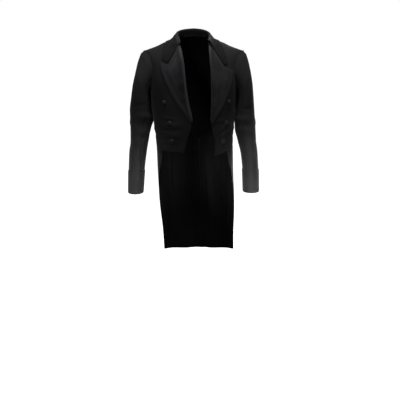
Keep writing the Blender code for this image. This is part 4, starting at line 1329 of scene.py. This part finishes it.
@dataclass
class Collar:
    """Collar: the stand rises from the neck seam and turns over at the fold, and the leaf comes down."""

    form: CoatForm
    finishes: Finishes
    thickness: float = 0.0018
    lie: float = 0.0027
    fold_radius: float = 0.0026
    neck_gap: float = 0.0012
    gorge_gap: float = 0.0020
    corner_rise: float = 0.0065
    side_neck_share: float = 0.55
    notch_share: dict[Side, float] = field(default_factory=lambda: {Side.RIGHT: 0.72, Side.LEFT: 0.85})

    def __post_init__(self) -> None:
        """Takes samples of the body's face, which the leaf lies on."""
        angles, levels = np.meshgrid(np.linspace(0, 180, 181), np.linspace(-0.10, self.form.arch_length, 87))
        self.samples, self.outwards = [], []
        for side in Side:
            place = lambda a, b: self.form.point(a, b, side.value)
            grid = place(angles.ravel(), levels.ravel())
            step = place(angles.ravel() + 0.1, levels.ravel()) - grid
            rise = place(angles.ravel(), levels.ravel() - 1e-4) - grid
            self.samples.extend(grid)
            self.outwards.extend(normalized(np.cross(step, rise)) * -side.value)
        self.tree = KDTree(len(self.samples))
        for i, sample in enumerate(self.samples):
            self.tree.insert(sample, i)
        self.tree.balance()

    def outside(self, points: np.ndarray, hold: np.ndarray) -> np.ndarray:
        """Points moved out of the body's face to the height at which the leaf lies.

        Args:
            points: The points.
            hold: 0 where a point may stand higher, up to 1 where it is laid down.

        Returns:
            The moved points.
        """
        moved = []
        for point, share in zip(points, hold):
            near = self.tree.find_n(point, 6)
            weights = np.array([1 / (found[2] ** 2 + 4e-6) for found in near])
            weights /= weights.sum()
            normal = normalized(sum(w * self.outwards[found[1]] for w, found in zip(weights, near)))
            offsets = [float((point - self.samples[found[1]]) @ normal) for found in near]
            lift = self.lie - float(weights @ offsets)
            moved.append(point + normal * (lift if lift > 0 else lift * share))
        return np.array(moved)

    def neck_seam(self, share: np.ndarray, side: Side) -> np.ndarray:
        """The neck edge of the back and the forepart, from the nape to the top of the lapel."""
        form = self.form
        gorge = GORGE[side][0]
        gorge_level = float(form.level_at(np.array(gorge.x), np.array(gorge.z)))
        sweep = np.clip(share / self.side_neck_share, 0, 1) * math.pi / 2
        out = form.neck_half_width * np.sin(sweep)
        back_level = form.neck_level(out)
        back_angle = form.angle_at(form.middle_x + side.value * out, back_level, side.value, behind=True)
        back = form.point(back_angle, back_level, side.value)
        front_share = np.clip((share - self.side_neck_share) / (1 - self.side_neck_share), 0, 1)
        front_level = mix(form.arch_length, gorge_level + self.corner_rise, front_share)
        front_x = Curve(FRONT_EDGE[side], "level", "x")(front_level)
        front = form.point(form.angle_at(front_x, front_level, side.value), front_level, side.value)
        return np.where((share < self.side_neck_share)[:, None], back, front)

    def half(self, u: np.ndarray, share: np.ndarray, side: Side) -> np.ndarray:
        """Points of one side: u is 0 to 1 up the stand, to 2 round the fold and to 3 down the leaf."""
        table, radius = COLLAR[side], self.fold_radius

        def at(kind: str, where: np.ndarray) -> np.ndarray:
            """Points of the fold or of the leaf's edge."""
            return np.stack([Curve(table, "share", f"{kind}_{axis}")(where) for axis in "xyz"], axis=-1)

        fold, edge, seam = at("fold", share), at("edge", share), self.neck_seam(share, side)
        up = normalized(fold - seam)
        seam = seam + up * self.neck_gap
        path = normalized(at("fold", share + 0.01) - at("fold", share - 0.01))
        path[np.abs(share) < 0.01] = (float(side.value), 0.0, 0.0)
        out = normalized(np.cross(path, up)) * -side.value
        centre = fold - up * radius
        stand = mix(seam, centre - out * radius, np.clip(u, 0, 1)[:, None])
        turn = np.clip(u - 1, 0, 1) * math.pi
        rolled = centre + (up * np.sin(turn)[:, None] - out * np.cos(turn)[:, None]) * radius
        leaf_share = np.clip(u - 2, 0, 1)
        notch_share = mix(0.75, self.notch_share[side], share)
        outer = centre + out * radius
        leaf = mix(outer, edge, leaf_share[:, None])
        notch = GORGE[side][1]
        end_bend = np.clip((share - 0.85) / 0.15, 0, 1) ** 2
        lower = np.minimum(leaf_share / notch_share, (1 - leaf_share) / (1 - notch_share)) * end_bend
        chord = mix(outer, edge, notch_share[:, None])
        leaf[:, 0] += lower * (notch.x + side.value * self.gorge_gap - chord[:, 0])
        leaf[:, 2] += lower * (notch.z + self.gorge_gap - chord[:, 2])
        leaf = self.outside(leaf, np.clip(leaf_share * 1.4 - 0.4, 0, 1))
        return np.where((u <= 1)[:, None], stand, np.where((u <= 2)[:, None], rolled, leaf))

    def place(self, u: np.ndarray, along: np.ndarray) -> np.ndarray:
        """Points at u, and along from the right corner (-1) over the nape to the left one (1)."""
        share = np.abs(along)
        right, left = (self.half(u, share, side) for side in Side)
        return np.where((along < 0)[:, None], right, left)

    def build(self) -> bpy.types.Object:
        """Makes the collar."""
        across = np.concatenate([np.linspace(0, 2, 17), np.linspace(2, 3, 21)[1:]])
        return ClothSheet(
            "collar",
            "collar_cloth",
            across[::-1],
            np.linspace(-1, 1, 121),
            self.place,
            self.thickness,
            self.finishes.collar,
            self.finishes.cloth,
            held="folded",
            rests_on=("back_left", "back_right", "front_left", "front_right"),
            centred=True,
            fold=1.75,
            edge_dip=TURNED_EDGE_DIP,
        ).build()


@dataclass
class CoveredButton:
    """Cloth-covered button: a domed front with a rolled rim, over a shallower back that faces the cloth."""

    finishes: Finishes
    node: str
    cloth: bpy.types.Object
    point: np.ndarray
    normal: np.ndarray
    radius: float = 0.0108
    slimness: float = 0.0055 / 0.0108
    standoff: float = 0.0006
    front_share: float = 0.72
    back_share: float = 0.28
    groove: float = 0.00035

    def seat(self) -> Vector:
        """The point moved along the normal until the button over it just clears the cloth by its standoff."""
        tree = BVHTree.FromObject(self.cloth, bpy.context.evaluated_depsgraph_get())
        point, normal = Vector(self.point), Vector(self.normal)
        across = normal.orthogonal().normalized()
        along = normal.cross(across)
        back_rise = self.back_share * self.slimness * self.radius
        above, highest = 0.03, -1.0
        for share in (0.0, 0.35, 0.6, 0.8, 0.95):
            for turn in range(0, 360, 30):
                out = across * math.cos(math.radians(turn)) + along * math.sin(math.radians(turn))
                start = point + out * share * self.radius + normal * above
                distance = tree.ray_cast(start, -normal, 2 * above)[3]
                if distance is not None:
                    highest = max(highest, above - distance - back_rise * (1 - math.sqrt(1 - share**2)))
        return point + normal * highest

    def build(self) -> bpy.types.Object:
        """Makes the button."""
        height = self.slimness * self.radius
        mesh = bpy.data.meshes.new(self.node + "_covered")
        bm = bmesh.new()
        bmesh.ops.create_uvsphere(bm, u_segments=48, v_segments=24, radius=self.radius)
        for vert in bm.verts:
            out = math.hypot(vert.co.x, vert.co.y) / self.radius
            vert.co.z *= (self.front_share if vert.co.z > 0 else self.back_share) * self.slimness
            vert.co.z -= self.groove * math.exp(-(((out - 0.86) / 0.05) ** 2)) * (vert.co.z > 0)
        turn = Vector(self.normal).to_track_quat("Z", "Y").to_matrix().to_4x4()
        base = self.seat() + Vector(self.normal) * (self.back_share * height + self.standoff)
        bmesh.ops.transform(bm, matrix=Matrix.Translation(base) @ turn, verts=bm.verts)
        bm.to_mesh(mesh)
        bm.free()
        piece = bpy.data.objects.new(mesh.name, mesh)
        bpy.context.scene.collection.objects.link(piece)
        piece.data.materials.append(self.finishes.button)
        piece.data.shade_smooth()
        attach(piece, "root")
        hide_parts(self.node)
        log.info("%s", piece.name)
        return piece


@dataclass
class ButtonSet:
    """The show rows on the foreparts and the two buttons at the back of the waist."""

    form: CoatForm
    side: Side
    finishes: Finishes
    back_out: float = 0.0455
    back_z: float = -0.438
    back_radius: float = 0.0100
    spots: dict[Side, tuple[Spot, ...]] = field(default_factory=lambda: FRONT_BUTTONS)

    def build(self) -> list[bpy.types.Object]:
        """Makes the buttons of one side, on the cloth that is already built."""
        form, side, label = self.form, self.side.value, self.side.label
        front, back = (bpy.data.objects[f"{kind}_{label}_cloth"] for kind in ("front", "back"))
        made = []
        for number, spot in enumerate(self.spots[self.side], 1):
            x, z = np.array([spot.x]), np.array([spot.z])
            point = form.front_at(x, z, side)
            above = lifted(lambda a, b: form.front_at(a, b, side), x, z, np.ones(1))
            node, normal = f"button_{label}_{number}", (above - point)[0]
            made.append(CoveredButton(self.finishes, node, front, point[0], normal).build())
        level = np.array([self.back_z - form.underarm_z])
        angle = form.angle_at(form.centre(self.back_z) + side * self.back_out, level, side, behind=True)
        point = form.point(angle, level, side)
        above = lifted(lambda a, b: form.point(a, b, side), angle, level, np.full(1, float(side)))
        node, normal = "button_back_" + label, (above - point)[0]
        made.append(CoveredButton(self.finishes, node, back, point[0], normal, self.back_radius).build())
        return made


FRONT_EDGE = {
    Side.RIGHT: (
        Edge(-0.282, -0.0480),
        Edge(-0.213, -0.0290),
        Edge(-0.140, -0.0125),
        Edge(-0.063, -0.0275),
        Edge(0.019, -0.0410),
        Edge(0.104, -0.0500),
        Edge(0.150, -0.0575),
        Edge(0.200, -0.0680),
        Edge(0.265, -0.0765),
        Edge(0.330, -0.0790),
    ),
    Side.LEFT: (
        Edge(-0.297, 0.0940),
        Edge(-0.242, 0.0960),
        Edge(-0.143, 0.0750),
        Edge(-0.041, 0.0780),
        Edge(0.064, 0.0756),
        Edge(0.127, 0.0700),
        Edge(0.165, 0.0675),
        Edge(0.203, 0.0665),
        Edge(0.265, 0.0690),
        Edge(0.330, 0.0710),
    ),
}
LAPEL_EDGE = {
    Side.RIGHT: (
        Outline(0.00, -0.0180, -0.3560),
        Outline(0.18, -0.0560, -0.3000),
        Outline(0.36, -0.0860, -0.2570),
        Outline(0.54, -0.1120, -0.2090),
        Outline(0.72, -0.1310, -0.1670),
        Outline(0.90, -0.1480, -0.1200),
        Outline(1.00, -0.1515, -0.0960),
    ),
    Side.LEFT: (
        Outline(0.00, 0.0790, -0.3640),
        Outline(0.18, 0.1020, -0.3280),
        Outline(0.36, 0.1235, -0.2920),
        Outline(0.54, 0.1440, -0.2480),
        Outline(0.72, 0.1600, -0.2060),
        Outline(0.88, 0.1685, -0.1700),
        Outline(1.00, 0.1720, -0.1300),
    ),
}
GORGE = {
    Side.RIGHT: (
        Outline(0.0, -0.0640, -0.0150),
        Outline(0.70, -0.1120, -0.1025),
        Outline(1.0, -0.1515, -0.0960),
    ),
    Side.LEFT: (
        Outline(0.0, 0.0625, -0.0080),
        Outline(0.70, 0.1290, -0.1090),
        Outline(1.0, 0.1720, -0.1300),
    ),
}
COLLAR = {
    Side.RIGHT: (
        Leaf(0.00, -0.0020, 0.0660, 0.0500, -0.0020, 0.0790, 0.0030),
        Leaf(0.20, -0.0350, 0.0590, 0.0480, -0.0520, 0.0730, -0.0030),
        Leaf(0.40, -0.0650, 0.0350, 0.0425, -0.0950, 0.0500, -0.0080),
        Leaf(0.55, -0.0790, 0.0060, 0.0350, -0.1190, 0.0180, -0.0060),
        Leaf(0.70, -0.0740, -0.0330, 0.0200, -0.1290, -0.0180, -0.0150),
        Leaf(0.85, -0.0675, -0.0620, 0.0070, -0.1390, -0.0530, -0.0410),
        Leaf(1.00, -0.0645, -0.0825, -0.0070, -0.1440, -0.0820, -0.0800),
    ),
    Side.LEFT: (
        Leaf(0.00, -0.0020, 0.0660, 0.0500, -0.0020, 0.0790, 0.0030),
        Leaf(0.20, 0.0300, 0.0590, 0.0470, 0.0460, 0.0730, -0.0030),
        Leaf(0.40, 0.0580, 0.0350, 0.0390, 0.0860, 0.0500, -0.0070),
        Leaf(0.55, 0.0690, 0.0060, 0.0300, 0.1020, 0.0180, -0.0050),
        Leaf(0.70, 0.0660, -0.0330, 0.0170, 0.1130, -0.0200, -0.0140),
        Leaf(0.85, 0.0635, -0.0620, 0.0080, 0.1290, -0.0540, -0.0500),
        Leaf(1.00, 0.0640, -0.0815, 0.0035, 0.1485, -0.0860, -0.1000),
    ),
}
SLEEVE_RINGS = {
    Side.RIGHT: (
        Ring(1, -0.2042, -0.240, -0.2450, -0.060, 0.066, 0.000, 0.35),
        Ring(2, -0.2032, -0.252, -0.2590, -0.098, 0.070, 0.000, 0.70),
        Ring(3, -0.2018, -0.268, -0.2710, -0.145, 0.072, -0.001, 1.0),
        Ring(4, -0.1998, -0.290, -0.2840, -0.200, 0.071, -0.003, 1.0),
        Ring(5, -0.1972, -0.320, -0.2930, -0.260, 0.069, -0.005, 1.0),
        Ring(6, -0.1924, -0.360, -0.3000, -0.320, 0.066, -0.006, 1.0),
        Ring(7, -0.2045, -0.405, -0.2985, -0.385, 0.062, -0.008, 1.0),
        Ring(8, -0.2140, -0.455, -0.2990, -0.450, 0.058, -0.012, 1.0),
        Ring(9, -0.2245, -0.520, -0.3060, -0.520, 0.055, -0.024, 1.0),
        Ring(10, -0.2340, -0.600, -0.3085, -0.600, 0.052, -0.040, 1.0),
        Ring(11, -0.2410, -0.695, -0.3100, -0.695, 0.050, -0.056, 1.0),
    ),
    Side.LEFT: (
        Ring(1, 0.1960, -0.240, 0.2360, -0.062, 0.066, 0.000, 0.35),
        Ring(2, 0.1950, -0.252, 0.2475, -0.098, 0.070, 0.000, 0.70),
        Ring(3, 0.1936, -0.268, 0.2575, -0.145, 0.072, -0.001, 1.0),
        Ring(4, 0.1920, -0.290, 0.2670, -0.200, 0.071, -0.003, 1.0),
        Ring(5, 0.1894, -0.320, 0.2725, -0.260, 0.069, -0.005, 1.0),
        Ring(6, 0.1856, -0.360, 0.2770, -0.320, 0.066, -0.006, 1.0),
        Ring(7, 0.1880, -0.405, 0.2820, -0.385, 0.062, -0.008, 1.0),
        Ring(8, 0.1995, -0.455, 0.2865, -0.450, 0.058, -0.012, 1.0),
        Ring(9, 0.2150, -0.520, 0.2940, -0.520, 0.055, -0.024, 1.0),
        Ring(10, 0.2235, -0.600, 0.2980, -0.600, 0.052, -0.040, 1.0),
        Ring(11, 0.2265, -0.689, 0.2995, -0.689, 0.050, -0.056, 1.0),
    ),
}
FRONT_BUTTONS = {
    Side.RIGHT: (Spot(-0.1360, -0.271), Spot(-0.1110, -0.363), Spot(-0.1020, -0.446)),
    Side.LEFT: (Spot(0.1560, -0.268), Spot(0.1430, -0.363), Spot(0.1290, -0.446)),
}

# Largest folds, the same as in the solids, and then the smaller creases. On the foreparts, backs and lapels a
# place is (x, z); on the side bodies and tails it is (degrees round the body, z); on the sleeves it is
# (turn round the arm, z).
FRONT_CREASES = {
    Side.RIGHT: (
        Crease((-0.050, -0.365), (-0.165, -0.372), 0.016, 0.0035, 0.006, 1.0),
        Crease((-0.055, -0.425), (-0.160, -0.418), 0.017, 0.0040, -0.005, 1.0),
        Crease((-0.155, -0.240), (-0.150, -0.380), 0.017, -0.0025, 0.004, 1.0),
        Crease((-0.058, -0.388), (-0.162, -0.398), 0.0060, -0.0026, 0.003),
        Crease((-0.072, -0.346), (-0.166, -0.338), 0.0060, 0.0020, -0.003),
        Crease((-0.064, -0.450), (-0.150, -0.443), 0.0070, 0.0022, 0.004),
        Crease((-0.080, -0.408), (-0.140, -0.413), 0.0050, -0.0018, -0.002),
        Crease((-0.100, -0.240), (-0.085, -0.330), 0.0070, -0.0009, 0.002),
    ),
    Side.LEFT: (
        Crease((0.170, -0.368), (0.128, -0.420), 0.017, 0.0055, -0.004, 1.0),
        Crease((0.128, -0.415), (0.120, -0.495), 0.017, 0.0050, 0.003, 1.0),
        Crease((0.165, -0.250), (0.158, -0.350), 0.016, -0.0020, -0.003, 1.0),
        Crease((0.162, -0.378), (0.116, -0.414), 0.0060, -0.0038, -0.003),
        Crease((0.112, -0.405), (0.104, -0.482), 0.0065, -0.0034, 0.003),
        Crease((0.092, -0.362), (0.138, -0.352), 0.0060, 0.0020, 0.003),
        Crease((0.140, -0.440), (0.150, -0.490), 0.0080, -0.0014, -0.002),
    ),
}
SIDE_CREASES = {
    Side.RIGHT: (
        Crease((66, -0.300), (118, -0.330), 0.0110, 0.0020, 0.006),
        Crease((70, -0.395), (130, -0.415), 0.0100, 0.0024, -0.005),
        Crease((60, -0.425), (112, -0.440), 0.0090, -0.0018, 0.004),
    ),
    Side.LEFT: (
        Crease((64, -0.315), (110, -0.335), 0.0105, 0.0020, -0.005),
        Crease((62, -0.405), (125, -0.400), 0.0100, 0.0024, 0.006),
        Crease((66, -0.435), (120, -0.430), 0.0090, -0.0020, -0.004),
    ),
}
TAIL_CREASES = {
    Side.RIGHT: (
        Crease((92, -0.520), (124, -0.980), 0.020, 0.0045, 0.008, 1.0),
        Crease((150, -0.560), (146, -0.940), 0.020, 0.0035, 0.006, 1.0),
        Crease((126, -0.500), (134, -0.760), 0.0100, -0.0022, -0.005),
        Crease((108, -0.640), (130, -0.900), 0.0080, -0.0014, 0.004),
    ),
    Side.LEFT: (
        Crease((86, -0.500), (120, -0.950), 0.021, 0.0040, -0.008, 1.0),
        Crease((145, -0.530), (149, -0.960), 0.020, 0.0038, -0.006, 1.0),
        Crease((118, -0.520), (131, -0.820), 0.0095, -0.0022, 0.006),
        Crease((104, -0.700), (126, -0.960), 0.0080, -0.0014, -0.004),
    ),
}
BACK_CREASES = {
    Side.RIGHT: (
        Crease((-0.060, -0.330), (-0.120, -0.285), 0.0120, 0.0026, 0.006),
        Crease((-0.030, -0.405), (-0.085, -0.392), 0.0100, 0.0020, -0.004),
        Crease((-0.118, -0.060), (-0.150, -0.200), 0.0140, 0.0028, 0.006),
        Crease((-0.030, -0.540), (-0.034, -0.900), 0.0120, -0.0020, 0.004),
    ),
    Side.LEFT: (
        Crease((0.050, -0.345), (0.115, -0.300), 0.0115, 0.0024, -0.006),
        Crease((0.028, -0.415), (0.080, -0.408), 0.0095, 0.0020, 0.004),
        Crease((0.110, -0.070), (0.146, -0.215), 0.0135, 0.0028, -0.005),
        Crease((0.036, -0.560), (0.032, -0.940), 0.0120, -0.0022, -0.004),
    ),
}
LAPEL_CREASES = {
    Side.RIGHT: (
        Crease((-0.062, -0.060), (-0.040, -0.270), 0.0110, 0.0016, 0.003),
        Crease((-0.100, -0.120), (-0.062, -0.260), 0.0120, -0.0014, 0.004),
    ),
    Side.LEFT: (
        Crease((0.086, -0.070), (0.082, -0.280), 0.0090, 0.0016, -0.002),
        Crease((0.118, -0.130), (0.098, -0.280), 0.0110, -0.0012, -0.004),
    ),
}
SLEEVE_CREASES = {
    Side.RIGHT: (
        Crease((180, -0.200), (180, -0.385), 0.030, 0.0026, 0.0, 1.0),
        Crease((60, -0.340), (175, -0.360), 0.016, 0.0050, 0.010, 1.0),
        Crease((50, -0.400), (170, -0.405), 0.016, 0.0055, -0.008, 1.0),
        Crease((55, -0.460), (165, -0.450), 0.017, 0.0040, 0.010, 1.0),
        Crease((25, -0.110), (58, -0.270), 0.020, 0.0035, 0.008, 1.0),
        Crease((70, -0.372), (160, -0.384), 0.0080, -0.0024, 0.004),
        Crease((75, -0.425), (150, -0.432), 0.0085, -0.0022, -0.005),
        Crease((40, -0.300), (120, -0.290), 0.0100, -0.0018, 0.006),
        Crease((20, -0.500), (110, -0.540), 0.0110, 0.0016, 0.008),
        Crease((-60, -0.380), (40, -0.360), 0.0150, 0.0026, -0.010),
        Crease((-70, -0.450), (10, -0.480), 0.0140, -0.0020, 0.008),
        Crease((190, -0.330), (240, -0.400), 0.0120, 0.0026, 0.006),
        Crease((-40, -0.120), (-70, -0.260), 0.0160, 0.0024, -0.006),
    ),
    Side.LEFT: (
        Crease((180, -0.200), (180, -0.385), 0.030, 0.0026, 0.0, 1.0),
        Crease((55, -0.350), (170, -0.340), 0.016, 0.0050, -0.010, 1.0),
        Crease((50, -0.405), (172, -0.410), 0.016, 0.0055, 0.008, 1.0),
        Crease((60, -0.455), (160, -0.465), 0.017, 0.0040, -0.010, 1.0),
        Crease((24, -0.110), (62, -0.260), 0.020, 0.0032, -0.008, 1.0),
        Crease((70, -0.378), (158, -0.374), 0.0080, -0.0024, -0.004),
        Crease((75, -0.432), (150, -0.438), 0.0085, -0.0022, 0.005),
        Crease((40, -0.300), (120, -0.300), 0.0100, -0.0018, -0.006),
        Crease((15, -0.520), (100, -0.505), 0.0110, 0.0016, -0.008),
        Crease((-55, -0.370), (35, -0.390), 0.0150, 0.0028, 0.009),
        Crease((-70, -0.470), (15, -0.460), 0.0140, -0.0020, -0.008),
        Crease((190, -0.350), (240, -0.390), 0.0120, 0.0026, -0.006),
        Crease((-38, -0.120), (-72, -0.250), 0.0160, 0.0024, 0.006),
    ),
}


class Lamp(NamedTuple):
    """Soft square light: where it stands, what it looks at, its side, its watts and how wide it spreads."""

    name: str
    place: tuple[float, float, float]
    aim: tuple[float, float, float]
    size: float
    power: float
    spread: float = 180.0


@dataclass
class Studio:
    """Pale floor, soft light and the camera at the photograph's angle."""

    floor_z: float = -1.57
    camera_place: tuple[float, float, float] = (0.025, -3.6, 0.15)
    tilt: float = 76.0
    lens: float = 70.0
    sky_light: float = 0.085
    lights: tuple[Lamp, ...] = (
        Lamp("key", (-1.3, -1.5, 2.0), (0.0, 0.0, -0.40), 0.5, 36.0),
        Lamp("fill", (2.2, -2.0, 0.4), (0.0, 0.0, -0.40), 0.9, 16.0),
        Lamp("low_left", (0.30, -1.15, -1.05), (0.36, -0.05, -0.66), 0.25, 1.7, 26.0),
        Lamp("low_right", (-0.30, -1.15, -1.05), (-0.37, -0.05, -0.66), 0.25, 1.2, 26.0),
        Lamp("top", (0.3, -0.40, 2.4), (0.0, 0.0, -0.35), 0.7, 74.0),
        Lamp("rim", (1.2, 2.4, 1.2), (0.0, 0.0, -0.35), 1.4, 24.0),
    )

    def build(self) -> None:
        """Makes the floor, the world, the lights and the camera."""
        scene = bpy.context.scene
        scene.view_settings.view_transform = "Standard"
        mesh = bpy.data.meshes.new("floor")
        bm = bmesh.new()
        bmesh.ops.create_grid(bm, x_segments=2, y_segments=2, size=20.0)
        bmesh.ops.translate(bm, vec=(0, 0, self.floor_z), verts=bm.verts)
        bm.to_mesh(mesh)
        bm.free()
        floor = bpy.data.objects.new("floor", mesh)
        floor.data.materials.append(StudioFloor().make())
        scene.collection.objects.link(floor)
        floor.visible_diffuse = floor.visible_glossy = False
        floor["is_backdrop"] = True
        self.sky()
        for lamp in self.lights:
            self.hang(lamp)
        camera = bpy.data.objects.new("camera", bpy.data.cameras.new("camera"))
        camera.location = self.camera_place
        camera.rotation_euler = (math.radians(self.tilt), 0, 0)
        camera.data.lens = self.lens
        camera.data.sensor_width = 36.0
        scene.collection.objects.link(camera)
        scene.camera = camera

    def sky(self) -> None:
        """White surroundings, which light the coat less than they show behind it."""
        world = bpy.data.worlds.new("studio")
        world.use_nodes = True
        tree = world.node_tree
        shown, soft = tree.nodes["Background"], tree.nodes.new("ShaderNodeBackground")
        shown.inputs["Color"].default_value = soft.inputs["Color"].default_value = (1, 1, 1, 1)
        shown.inputs["Strength"].default_value, soft.inputs["Strength"].default_value = 1.0, self.sky_light
        rays, mixed = tree.nodes.new("ShaderNodeLightPath"), tree.nodes.new("ShaderNodeMixShader")
        tree.links.new(rays.outputs["Is Camera Ray"], mixed.inputs["Fac"])
        tree.links.new(soft.outputs[0], mixed.inputs[1])
        tree.links.new(shown.outputs[0], mixed.inputs[2])
        tree.links.new(mixed.outputs[0], tree.nodes["World Output"].inputs["Surface"])
        bpy.context.scene.world = world

    def hang(self, lamp: Lamp) -> None:
        """Adds one of the lamps."""
        light = bpy.data.lights.new(lamp.name, "AREA")
        light.size, light.energy, light.spread = lamp.size, lamp.power, math.radians(lamp.spread)
        hung = bpy.data.objects.new(lamp.name, light)
        hung.location = lamp.place
        hung.rotation_euler = (Vector(lamp.aim) - Vector(lamp.place)).to_track_quat("-Z", "Y").to_euler()
        bpy.context.scene.collection.objects.link(hung)


def main() -> None:
    """Builds the coat piece by piece, and the studio round it."""
    logging.basicConfig(level=logging.INFO, format="%(message)s")
    Studio().build()
    form, finishes = CoatForm(), Finishes()
    for side in Side:
        for kind in (Forepart, SideBody, TailPanel, BackPanel, Lapel, Sleeve, Cuff, ButtonSet):
            kind(form, side, finishes).build()
    Collar(form, finishes).build()
    boxes = [[list(map(float, corner)) for corner in box] for box in (CAD_BOX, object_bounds())]
    log.info("cad %s visual %s", *boxes)


if __name__ == "__main__":
    main()
